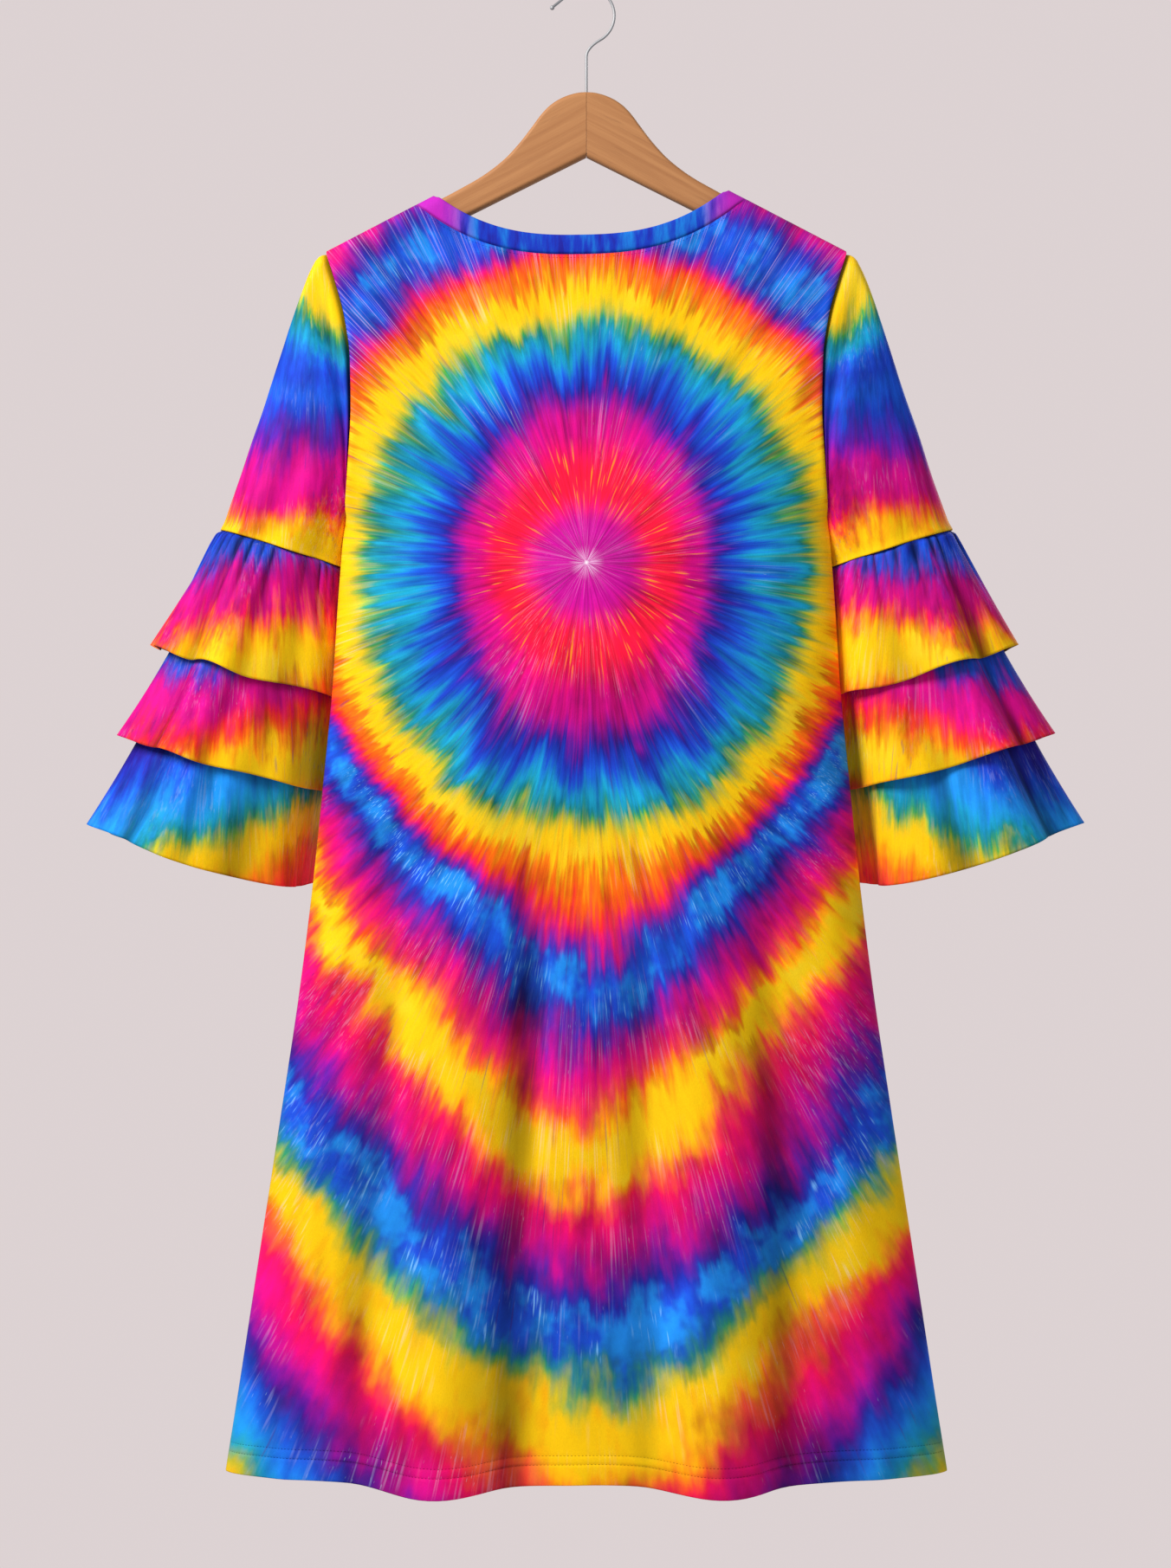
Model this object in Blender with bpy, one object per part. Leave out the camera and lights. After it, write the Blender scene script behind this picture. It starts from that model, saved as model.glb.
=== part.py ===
"""Ruffle sleeve dress on a clothes hanger.

Frame: +Z up and X across the shoulders. The back of the dress faces -Y and its front faces +Y.
The origin is the top of the inside of the hook, where the hanger hangs. Sizes are written in
millimetres and turned into metres once, when a mesh is made.
"""

import math
from collections import namedtuple

import bmesh
import bpy
import numpy as np
from mathutils import Vector

MM = 0.001

# Cloth walls and the gap left at every seam.
SEAM_GAP = 0.3
ARMHOLE_GAP = 0.45
BODY_WALL = 1.2
SLEEVE_WALL = 1.2
RUFFLE_WALL = 1.2

# Shoulder line: its outer tip, and how far it falls for each millimetre outward.
TIP_X = 204.0
TIP_Z = -209.0
SHOULDER_FALL = 0.52
SHOULDER_COS = math.cos(math.atan(SHOULDER_FALL))
SHOULDER_SIN = math.sin(math.atan(SHOULDER_FALL))
SHOULDER_TURN = 9.5

# Neck: half its width, how far it hangs to one side, and the fall of each neckline.
NECK_HALF = 130.0
NECK_SHIFT = -4.2
BACK_NECK_DROP = 39.0
BACK_NECK_POWER = 2.6
FRONT_NECK_DROP = 98.0
FRONT_NECK_POWER = 2.6

# Neckband: folded strip, a little prouder than the panels.
BAND_WIDTH = 14.6
BAND_PROUD = 0.5
BAND_WALL = 1.8
BAND_FOLD_FROM = 0.9

# Armhole: its fall from the shoulder tip to the underarm, and its opening in depth.
ARMHOLE_FALL = 207.0
ARMHOLE_OPEN = 0.8
ARMHOLE_POWER = 5.0
SIDE_ROUND_POWER = 2.5

# Hem of the body, with the forward folds that fan out below the hips.
HEM_Z = -1164.0
FOLD_DIP = 5.5
FOLD_SPREAD = 50.0
FOLD_TOP_Z = -760.0
FOLD_GROWTH_POWER = 1.3

# Half-width of the body, side seam to middle, at each height.
WidthRow = namedtuple("WidthRow", "height half_width")
BODY_WIDTH = (
    WidthRow(-209, 204.0),
    WidthRow(-231, 197.0),
    WidthRow(-259, 189.5),
    WidthRow(-291, 185.0),
    WidthRow(-331, 184.0),
    WidthRow(-376, 186.5),
    WidthRow(-416, 190.0),
    WidthRow(-471, 194.5),
    WidthRow(-551, 199.8),
    WidthRow(-626, 207.0),
    WidthRow(-706, 215.3),
    WidthRow(-791, 226.0),
    WidthRow(-871, 238.0),
    WidthRow(-991, 256.5),
    WidthRow(-1111, 275.0),
    WidthRow(-1164, 283.5),
)

# How far each panel stands from the hanger's plane, in the middle, at each height.
DepthRow = namedtuple("DepthRow", "height half_depth")
BODY_DEPTH = (
    DepthRow(-160, 10.5),
    DepthRow(-216, 10.8),
    DepthRow(-251, 14.0),
    DepthRow(-311, 23.0),
    DepthRow(-371, 30.0),
    DepthRow(-416, 34.0),
    DepthRow(-511, 38.0),
    DepthRow(-631, 42.0),
    DepthRow(-791, 47.0),
    DepthRow(-941, 51.0),
    DepthRow(-1091, 54.0),
    DepthRow(-1164, 55.0),
)

# The largest folds at the hem: where each stands forward, and by how much.
FoldRow = namedtuple("FoldRow", "across depth")
BACK_FOLDS = (FoldRow(-111, 30.0), FoldRow(111, 28.0))
FRONT_FOLDS = (FoldRow(-172, 22.0), FoldRow(-8, 26.0), FoldRow(160, 24.0))

# Rows of a panel, as falls from the shoulder tip along the side, down to the hem.
TURN_ROWS = (0.0, 1.1, 4.2, 9.5)
ARM_ROWS = (22.0, 48.0, 80.0, 112.0, 143.0, 171.0, 193.0, ARMHOLE_FALL)
SKIRT_ROWS = (240.0, 300.0, 380.0, 470.0, 570.0, 670.0, 770.0, 865.0)
SIDE_FALL = TIP_Z - HEM_Z
PANEL_ROWS = TURN_ROWS + ARM_ROWS + SKIRT_ROWS + (SIDE_FALL,)
UNDERARM_ROW = PANEL_ROWS.index(ARMHOLE_FALL)

# Columns of a panel: shares of the half-width along the shoulder, then steps in from the neck corner.
SHOULDER_COLUMNS = (1.0, 0.985, 0.94, 0.86, 0.76)
NECK_STEPS = (0.0, 1.0, 3.2, 8.0, 17.0, 32.0, 52.0, 76.0, 102.0)

# Sleeve, measured on one side with X outward: the seam at its end is an oval in a tilted plane.
CUFF_OUTER = (286.3, 4.0, -425.5)
CUFF_INNER_X = 190.0
CUFF_INNER_Y = 36.0
CUFF_HALF_DEPTH = 36.0
CUFF_TILT = math.radians(17.0)
OVAL_POWER = 2.2
CAP_BULGE = 8.8
CAP_BULGE_START = 0.035
UNDERARM_BULGE = 7.0
SLEEVE_FULLNESS = 5.0
SLEEVE_ROWS = (0.0, 0.04, 0.11, 0.24, 0.45, 0.7, 1.0)

# Ruffles: hem corners beyond the cuff on one side, X outward, with the way each bell flares.
Ruffle = namedtuple(
    "Ruffle",
    "name outer_x outer_z bow inner_x inner_y half_depth depth_bow sag layer waves wave_depth phase rows",
)
RUFFLES = (
    Ruffle("top", 338.3, -516.0, 0.0, 193.0, 62.0, 60.0, 0.0, 3.0, 1.7, 7, 4.5, 0.4,
           (0, 8, 20, 38, 60, 82, 104)),
    Ruffle("middle", 366.5, -586.0, 6.9, 206.0, 70.0, 66.0, 4.0, 3.0, 0.0, 7, 4.5, 1.3,
           (0, 8, 20, 38, 70, 106, 143, 179)),
    Ruffle("bottom", 389.0, -656.7, 10.3, 221.0, 78.0, 70.0, 6.0, 10.0, -1.7, 6, 5.5, 2.1,
           (0, 8, 20, 38, 80, 123, 166, 210, 252)),
)
RUFFLE_HEM_Y = 6.0
WAVE_GROWTH_POWER = 1.5
WAVE_SIDE_SHIFT = 0.7

# Gathers along each ruffle's seam: how many, how high at each distance from it, and how uneven.
GATHERS = 32
GATHER_COLUMNS = 2 * GATHERS
GATHER_UNEVEN = 0.25
GATHER_UNEVEN_STEP = 2.4
GatherRow = namedtuple("GatherRow", "along height")
GATHER_HEIGHT = (
    GatherRow(0, 0.8),
    GatherRow(8, 1.1),
    GatherRow(20, 0.9),
    GatherRow(38, 0.0),
)

# Hanger: two flat wooden arms glued at the middle, and a bent wire hook.
ARM_EDGE_STEPS = ((1.6, 0.0), (4.6, 1.1), (6.0, 4.0))
ARM_END_STEPS = ((188.0, 0.0, 1.0), (191.5, 3.5, 0.7))
ArmRow = namedtuple("ArmRow", "out top bottom")
ARM_PROFILE = (
    ArmRow(0.0, -82.1, -132.4),
    ArmRow(10.0, -82.6, -137.4),
    ArmRow(20.0, -85.6, -142.4),
    ArmRow(28.0, -91.3, -146.4),
    ArmRow(35.0, -98.8, -149.9),
    ArmRow(42.0, -108.3, -153.4),
    ArmRow(53.0, -122.2, -158.9),
    ArmRow(65.0, -135.1, -164.9),
    ArmRow(82.0, -147.6, -173.4),
    ArmRow(99.0, -157.6, -181.9),
    ArmRow(114.0, -165.6, -189.4),
    ArmRow(125.0, -171.4, -194.8),
    ArmRow(134.0, -175.3, -199.0),
    ArmRow(150.0, -183.6, -205.8),
    ArmRow(170.0, -194.0, -214.2),
    ArmRow(190.0, -204.4, -222.5),
)
HOOK_RADIUS = 22.0
WIRE_RADIUS = 1.4
STEM_TOP_Z = -53.6
BORE_BOTTOM_Z = -112.0
HOOK_START_DEG = -60.0
HOOK_END_DEG = 130.0
HOOK_TIP_LENGTH = 18.5
BALL_RADIUS = 1.9
WIRE_SIDES_RESOLUTION = 2

# Edges sharper than this are shaded as edges.
SHARP_FROM = math.radians(40.0)

Panel =namedtuple("Panel", "outer inner")


def smooth_table(rows, at):
    """Reads a two-column table anywhere, along a curve that never swings past its rows."""
    table = np.array(sorted(rows), float)
    xs = table[:, 0]
    ys = table[:, 1]
    steps = np.diff(xs)
    slopes = np.diff(ys) / steps
    tangents = np.zeros(len(xs))
    tangents[0] = slopes[0]
    tangents[-1] = slopes[-1]
    for k in range(1, len(xs) - 1):
        before = slopes[k - 1]
        after = slopes[k]
        if before * after > 0:
            tangents[k] = 2 * before * after / (before + after)
    at = np.clip(np.asarray(at, float), xs[0], xs[-1])
    k = np.clip(np.searchsorted(xs, at) - 1, 0, len(steps) - 1)
    t = (at - xs[k]) / steps[k]
    rise = ys[k + 1] - ys[k]
    start = tangents[k] * steps[k]
    end = tangents[k + 1] * steps[k]
    return ys[k] + t * (start + t * (3 * rise - 2 * start - end + t * (start + end - 2 * rise)))


def unit(vectors):
    vectors = np.asarray(vectors, float)
    return vectors / np.linalg.norm(vectors, axis=-1, keepdims=True)


def shoulder_height(x):
    """The shoulder line, carried on toward the middle over the open neck."""
    return TIP_Z + (TIP_X - np.abs(x)) * SHOULDER_FALL


def neck_share(x):
    """Place across the neck: -1 and 1 at its corners."""
    return (np.asarray(x, float) - NECK_SHIFT) / NECK_HALF


def neckline(x, drop, power):
    left = shoulder_height(NECK_SHIFT - NECK_HALF)
    right = shoulder_height(NECK_SHIFT + NECK_HALF)
    share = np.clip(neck_share(x), -1, 1)
    straight = left + (right - left) * (share + 1) / 2
    return straight - drop * (1 - np.abs(share) ** power)


def armhole_half_opening(z):
    """Share of the panel's depth that is left at its side edge: open above the underarm, nothing below."""
    fall = np.clip((TIP_Z - np.asarray(z, float)) / ARMHOLE_FALL, 0, 1)
    return ARMHOLE_OPEN * np.sqrt(1 - fall ** ARMHOLE_POWER)


def fold_at(x, folds):
    """How deep the forward folds are at this place across, and 0 to 1 for how near to a fold's middle."""
    depth = np.zeros_like(x)
    near = np.zeros_like(x)
    for fold in folds:
        bump = np.exp(-(((x - fold.across) / FOLD_SPREAD) ** 2))
        depth = depth + fold.depth * bump
        near = near + bump
    return depth, near


def panel_depth(x, z, folds):
    """Distance of a panel's outer face from the hanger's plane."""
    x = np.asarray(x, float)
    z = np.asarray(z, float)
    width = smooth_table(BODY_WIDTH, z)
    middle = smooth_table(BODY_DEPTH, z)
    below = np.clip((shoulder_height(x) - z) * SHOULDER_COS / SHOULDER_TURN, 0, 1)
    turn = np.sqrt(1 - (1 - below) ** 2)
    closed = 1 - armhole_half_opening(z) ** 2
    side = np.sqrt(np.clip(1 - closed * np.clip(np.abs(x) / width, 0, 1) ** SIDE_ROUND_POWER, 0, 1))
    growth = np.clip((FOLD_TOP_Z - z) / (FOLD_TOP_Z - HEM_Z), 0, 1) ** FOLD_GROWTH_POWER
    depth, _ = fold_at(x, folds)
    return SEAM_GAP / 2 + middle * turn * side + depth * growth


def panel_columns():
    """Shares of the half-width for a panel's columns, from the left edge to the right edge."""
    left_corner = NECK_SHIFT - NECK_HALF
    right_corner = NECK_SHIFT + NECK_HALF
    shares = [-share for share in SHOULDER_COLUMNS]
    shares += [(left_corner + step) / TIP_X for step in NECK_STEPS]
    shares += [NECK_SHIFT / TIP_X]
    shares += [(right_corner - step) / TIP_X for step in reversed(NECK_STEPS)]
    shares += list(reversed(SHOULDER_COLUMNS))
    return np.array(shares)


def panel_surface(facing, neck_drop, neck_power, folds):
    """Outer points of a panel, by row and column, with facing -1 for the back and 1 for the front."""
    shares = panel_columns()
    across_top = shares * TIP_X
    over_neck = np.abs(neck_share(across_top)) < 1
    top = np.where(over_neck, neckline(across_top, neck_drop, neck_power), shoulder_height(across_top))
    hem_half = BODY_WIDTH[-1].half_width
    _, near = fold_at(shares * hem_half, folds)
    hem = HEM_Z - FOLD_DIP * near
    points = np.zeros((len(PANEL_ROWS), len(shares), 3))
    for row, fall in enumerate(PANEL_ROWS):
        z = top + (hem - top) * fall / SIDE_FALL
        x = shares * smooth_table(BODY_WIDTH, z)
        points[row, :, 0] = x
        points[row, :, 1] = facing * panel_depth(x, z, folds)
        points[row, :, 2] = z
    return points


def grid_normals(points, closed):
    """Unit normals of a grid of points, whose rings join up at their ends when closed."""
    if closed:
        around = np.roll(points, -1, axis=1) - np.roll(points, 1, axis=1)
    else:
        around = np.gradient(points, axis=1)
    along = np.gradient(points, axis=0)
    return unit(np.cross(along, around))


def panel_wall(facing, outer):
    """Inner points of a panel, one wall inside its outer ones, square to every seam."""
    normals = grid_normals(outer, closed=False)
    if normals[-1, len(outer[0]) // 2, 1] * facing < 0:
        normals = -normals
    shares = panel_columns()
    on_shoulder = np.abs(neck_share(shares * TIP_X)) >= 1 - 1e-9
    normals[0, on_shoulder] = (0, 0, 1)
    normals[0, on_shoulder, 0] = np.sign(shares[on_shoulder]) * SHOULDER_FALL
    normals[UNDERARM_ROW:, 0, 1] = 0
    normals[UNDERARM_ROW:, -1, 1] = 0
    return outer - BODY_WALL * unit(normals)


def armhole_ring(side, back, front):
    """One edge of the armhole, tip first, down the back panel and up the front one, X outward."""
    column = 0 if side < 0 else -1
    down = back[: UNDERARM_ROW + 1, column]
    up = front[: UNDERARM_ROW + 1, column]
    tip = (down[0] + up[0]) / 2
    underarm = (down[-1] + up[-1]) / 2
    ring = np.concatenate([[tip], down[1:-1], [underarm], up[1:-1][::-1]])
    return ring * np.array((side, 1, 1))


def oval(outer, inner, half_depth, angles):
    """An oval round a sleeve seen from above, with its outward normals. Angle 0 is its outer end."""
    centre = (np.array(outer) + np.array(inner)) / 2
    major = (np.array(outer) - np.array(inner)) / 2
    reach = np.linalg.norm(major)
    lengthwise = major / reach
    crosswise = np.array((lengthwise[1], -lengthwise[0]))
    c = np.cos(angles)
    s = np.sin(angles)
    c_part = np.sign(c) * np.abs(c) ** (2 / OVAL_POWER)
    s_part = np.sign(s) * np.abs(s) ** (2 / OVAL_POWER)
    place = centre + np.outer(reach * c_part, lengthwise) + np.outer(half_depth * s_part, crosswise)
    c_normal = np.sign(c) * np.abs(c) ** (2 - 2 / OVAL_POWER) / reach
    s_normal = np.sign(s) * np.abs(s) ** (2 - 2 / OVAL_POWER) / half_depth
    normal = unit(np.outer(c_normal, lengthwise) + np.outer(s_normal, crosswise))
    return place, normal


def on_tilted_plane(place, origin_x, origin_z):
    """Lifts plan points onto the plane of a cuff seam that passes through this height at this x."""
    z = origin_z + math.tan(CUFF_TILT) * (place[:, 0] - origin_x)
    return np.column_stack([place, z])


def cuff_ring(angles, offset):
    place, normal = oval(CUFF_OUTER[:2], (CUFF_INNER_X, CUFF_INNER_Y), CUFF_HALF_DEPTH, angles)
    place = place + offset * normal
    return on_tilted_plane(place, CUFF_OUTER[0], CUFF_OUTER[2])


def sleeve_grids(side, back, front):
    """Outer and inner points of a sleeve, from the armhole to the seam at its end, X outward."""
    armhole = armhole_ring(side, back.outer, front.outer)
    armhole_inside = armhole_ring(side, back.inner, front.inner)
    steps = np.linalg.norm(np.roll(armhole, -1, axis=0) - armhole, axis=1)
    half = UNDERARM_ROW
    down = np.concatenate([[0], np.cumsum(steps[:half])])
    up = np.concatenate([[0], np.cumsum(steps[half:])])
    angles = np.concatenate([math.pi * down / down[-1], math.pi * (1 + up[1:-1] / up[-1])])
    cuff = cuff_ring(angles, 0.0)
    start = armhole + np.array((ARMHOLE_GAP, 0, 0))
    under = (1 - np.cos(angles)) / 2
    outer = np.zeros((len(SLEEVE_ROWS), len(armhole), 3))
    for row, share in enumerate(SLEEVE_ROWS):
        rounding = (1 - share) * (1 - math.exp(-share / CAP_BULGE_START))
        full = SLEEVE_FULLNESS * 4 * share * (1 - share)
        ring = start + (cuff - start) * share
        ring[:, 0] += rounding * (CAP_BULGE * (1 - under) + UNDERARM_BULGE * under)
        ring[:, 1] -= full * np.sin(angles)
        outer[row] = ring
    normals = grid_normals(outer, closed=True)
    if normals[len(outer) // 2, 0, 0] < 0:
        normals = -normals
    normals[0] = unit(normals[0] + unit(armhole - armhole_inside))
    inner = outer - SLEEVE_WALL * normals
    inner[-1] = cuff_ring(angles, -SLEEVE_WALL)
    return outer, inner


def ruffle_ring(ruffle, along, side, columns):
    """Outer and inner points of a ruffle at this distance from the cuff seam, X outward."""
    share = along / ruffle.rows[-1]
    swell = 4 * share * (1 - share)
    angles = 2 * math.pi * np.arange(columns) / columns
    start_x = CUFF_OUTER[0] + SEAM_GAP * math.sin(CUFF_TILT)
    start_z = CUFF_OUTER[2] - SEAM_GAP * math.cos(CUFF_TILT)
    outer_x = start_x + (ruffle.outer_x - start_x) * share - ruffle.bow * swell
    outer_z = start_z + (ruffle.outer_z - start_z) * share
    outer_y = CUFF_OUTER[1] + (RUFFLE_HEM_Y - CUFF_OUTER[1]) * share
    inner_x = CUFF_INNER_X + (ruffle.inner_x - CUFF_INNER_X) * share
    inner_y = CUFF_INNER_Y + (ruffle.inner_y - CUFF_INNER_Y) * share
    half_depth = CUFF_HALF_DEPTH + (ruffle.half_depth - CUFF_HALF_DEPTH) * share
    half_depth -= ruffle.depth_bow * swell
    place, normal = oval((outer_x, outer_y), (inner_x, inner_y), half_depth, angles)
    toward_body = ((1 - np.cos(angles)) / 2) ** 2
    wave = ruffle.wave_depth * share ** WAVE_GROWTH_POWER * (1 - toward_body)
    wave = wave * np.sin(ruffle.waves * angles + ruffle.phase + WAVE_SIDE_SHIFT * side)
    pleat = smooth_table(GATHER_HEIGHT, along)
    uneven = np.sin(GATHER_UNEVEN_STEP * np.arange(columns) + side)
    uneven = 1 - GATHER_UNEVEN + GATHER_UNEVEN * uneven
    if columns == GATHER_COLUMNS:
        pleats = pleat * uneven * np.where(np.arange(columns) % 2, -1, 1)
    else:
        pleats = np.zeros(columns)
    offset = (ruffle.layer + wave + pleats)[:, None]
    sag = ruffle.sag * share ** 2 * np.sin(angles) ** 2
    outer = on_tilted_plane(place + offset * normal, outer_x, outer_z)
    inner = on_tilted_plane(place + (offset - RUFFLE_WALL) * normal, outer_x, outer_z)
    outer[:, 2] -= sag
    inner[:, 2] -= sag
    return outer, inner


def ruffle_grids(ruffle, side):
    outer = []
    inner = []
    for along in ruffle.rows:
        columns = GATHER_COLUMNS if along < GATHER_HEIGHT[-1].along else GATHERS
        ring_outer, ring_inner = ruffle_ring(ruffle, along, side, columns)
        outer.append(ring_outer)
        inner.append(ring_inner)
    return outer, inner


def neck_edge(points):
    """The neckline part of a panel's top row, corner to corner."""
    first = len(SHOULDER_COLUMNS)
    return points[0, first:-first]


def band_direction(edge):
    """Which way the neckband's width runs in the dress's plane, at each point of a neckline."""
    run = np.gradient(edge[:, (0, 2)], axis=0)
    square = unit(np.column_stack([-run[:, 1], np.zeros(len(edge)), run[:, 0]]))
    share = neck_share(edge[:, 0])
    fold = np.clip((np.abs(share) - BAND_FOLD_FROM) / (1 - BAND_FOLD_FROM), 0, 1)
    fold = (fold * fold * (3 - 2 * fold))[:, None]
    shoulder = np.column_stack(
        [-np.sign(share) * SHOULDER_COS, np.zeros(len(edge)), np.full(len(edge), SHOULDER_SIN)]
    )
    return unit(square * (1 - fold) + shoulder * fold)


def band_half(facing, edge, folds, height):
    """Points on the body's surface at this height above the neckline, corner to corner."""
    points = edge + height * band_direction(edge)
    points[:, 1] = facing * (panel_depth(points[:, 0], points[:, 2], folds) - SEAM_GAP / 2)
    return points


def joined_ring(back, front):
    """A ring round the neck: along the back from corner to corner, then back along the front."""
    return np.concatenate([back, front[1:-1][::-1]])


def band_grids(back, front):
    """Outer and inner points of the neckband, its seam edge parallel to the panels' edges."""
    rows = []
    for height in (SEAM_GAP, SEAM_GAP + BAND_WIDTH / 2, SEAM_GAP + BAND_WIDTH):
        back_half = band_half(-1, neck_edge(back.outer), BACK_FOLDS, height)
        front_half = band_half(1, neck_edge(front.outer), FRONT_FOLDS, height)
        rows.append(joined_ring(back_half, front_half))
    surface = np.array(rows)
    normals = grid_normals(surface, closed=True)
    if normals[1, len(NECK_STEPS), 1] > 0:
        normals = -normals
    back_wall = neck_edge(back.outer) - neck_edge(back.inner)
    front_wall = neck_edge(front.outer) - neck_edge(front.inner)
    normals[0] = unit(joined_ring(back_wall, front_wall))
    return surface + BAND_PROUD * normals, surface + (BAND_PROUD - BAND_WALL) * normals


def hanger_arm_rings(side):
    """Cross-sections of a wooden arm, from the glued joint out to its rounded end."""
    stations = [(max(row.out, SEAM_GAP / 2), row.top, row.bottom, 1.0) for row in ARM_PROFILE[:-1]]
    last = ARM_PROFILE[-1]
    for out, shrink, thin in ARM_END_STEPS:
        top = float(smooth_table([(row.out, row.top) for row in ARM_PROFILE], out))
        bottom = float(smooth_table([(row.out, row.bottom) for row in ARM_PROFILE], out))
        if out > last.out:
            top -= (out - last.out) * SHOULDER_FALL
        stations.append((out, top - shrink, bottom + shrink, thin))
    rings = []
    for out, top, bottom, thin in stations:
        upper = [(y * thin, top - drop) for y, drop in ARM_EDGE_STEPS]
        lower = [(y * thin, bottom + rise) for y, rise in reversed(ARM_EDGE_STEPS)]
        half = upper + lower
        whole = half + [(-y, z) for y, z in reversed(half)]
        rings.append(np.array([(side * out, y, z) for y, z in whole]))
    return rings


def plain_material(name, colour, roughness, metallic=0.0):
    material = bpy.data.materials.new(name)
    material.use_nodes = True
    shader = material.node_tree.nodes["Principled BSDF"]
    shader.inputs["Base Color"].default_value = (*colour, 1.0)
    shader.inputs["Roughness"].default_value = roughness
    shader.inputs["Metallic"].default_value = metallic
    material.diffuse_color = (*colour, 1.0)
    return material


def add_ring(mesh, points):
    return [mesh.verts.new(Vector(point) * MM) for point in points]


def bridge_rings(mesh, first, second, closed):
    """Triangles between two rings, the second with as many points as the first or half as many."""
    count = len(first) if closed else len(first) - 1
    if len(second) == len(first):
        for k in range(count):
            after = (k + 1) % len(first)
            mesh.faces.new((first[k], first[after], second[k]))
            mesh.faces.new((first[after], second[after], second[k]))
        return
    for k in range(len(second)):
        after = (k + 1) % len(second)
        mesh.faces.new((first[2 * k], first[2 * k + 1], second[k]))
        mesh.faces.new((first[2 * k + 1], second[after], second[k]))
        mesh.faces.new((first[2 * k + 1], first[2 * after], second[after]))


def finish_object(name, mesh, material):
    """Makes an object of a mesh, its faces turned outward and shaded smooth."""
    bmesh.ops.recalc_face_normals(mesh, faces=mesh.faces)
    data = bpy.data.meshes.new(name)
    mesh.to_mesh(data)
    mesh.free()
    data.shade_smooth()
    data.set_sharp_from_angle(angle=SHARP_FROM)
    data.materials.append(material)
    thing = bpy.data.objects.new(name, data)
    bpy.context.scene.collection.objects.link(thing)
    return thing


def wall_object(name, outer, inner, closed, material):
    """One closed cloth wall between outer and inner rings."""
    mesh = bmesh.new()
    outer_rings = [add_ring(mesh, ring) for ring in outer]
    inner_rings = [add_ring(mesh, ring) for ring in inner]
    for rings in (outer_rings, inner_rings):
        for first, second in zip(rings, rings[1:]):
            bridge_rings(mesh, first, second, closed)
    bridge_rings(mesh, outer_rings[0], inner_rings[0], closed)
    bridge_rings(mesh, outer_rings[-1], inner_rings[-1], closed)
    if not closed:
        for end in (0, -1):
            outer_edge = [ring[end] for ring in outer_rings]
            inner_edge = [ring[end] for ring in inner_rings]
            bridge_rings(mesh, outer_edge, inner_edge, closed=False)
    return finish_object(name, mesh, material)


def build_panel(name, facing, neck_drop, neck_power, folds, material):
    """Makes a panel and returns its points, which the neckband and sleeves start from."""
    outer = panel_surface(facing, neck_drop, neck_power, folds)
    panel = Panel(outer, panel_wall(facing, outer))
    wall_object(name, panel.outer, panel.inner, False, material)
    return panel


def build_neckband(back, front, material):
    outer, inner = band_grids(back, front)
    wall_object("neckband", outer, inner, True, material)


def build_sleeve(side, label, back, front, cloth):
    outward = np.array((side, 1, 1))
    outer, inner = sleeve_grids(side, back, front)
    wall_object("sleeve_" + label, outer * outward, inner * outward, True, cloth["sleeve"])
    for ruffle in RUFFLES:
        outer, inner = ruffle_grids(ruffle, side)
        wall_object(
            "ruffle_" + ruffle.name + "_" + label,
            [ring * outward for ring in outer],
            [ring * outward for ring in inner],
            True,
            cloth["ruffle_" + ruffle.name],
        )


def stem_bore():
    """Cutter for the hole that the hook's stem sits in."""
    radius = WIRE_RADIUS + SEAM_GAP
    top = ARM_PROFILE[0].top + 5
    mesh = bmesh.new()
    bmesh.ops.create_cone(
        mesh, cap_ends=True, segments=16, radius1=radius * MM, radius2=radius * MM,
        depth=(top - BORE_BOTTOM_Z) * MM,
    )
    bmesh.ops.translate(mesh, verts=mesh.verts, vec=(0, 0, (top + BORE_BOTTOM_Z) / 2 * MM))
    data = bpy.data.meshes.new("stem_bore_cutter")
    mesh.to_mesh(data)
    mesh.free()
    cutter = bpy.data.objects.new("stem_bore_cutter", data)
    cutter.hide_render = True
    cutter.display_type = "WIRE"
    bpy.context.scene.collection.objects.link(cutter)
    return cutter


def build_hanger_arm(side, label, cutter, wood):
    mesh = bmesh.new()
    rings = [add_ring(mesh, ring) for ring in hanger_arm_rings(side)]
    for first, second in zip(rings, rings[1:]):
        bridge_rings(mesh, first, second, closed=True)
    mesh.faces.new(rings[0])
    mesh.faces.new(rings[-1])
    arm = finish_object("hanger_arm_" + label, mesh, wood)
    bore = arm.modifiers.new("Stem bore", "BOOLEAN")
    bore.object = cutter


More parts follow.
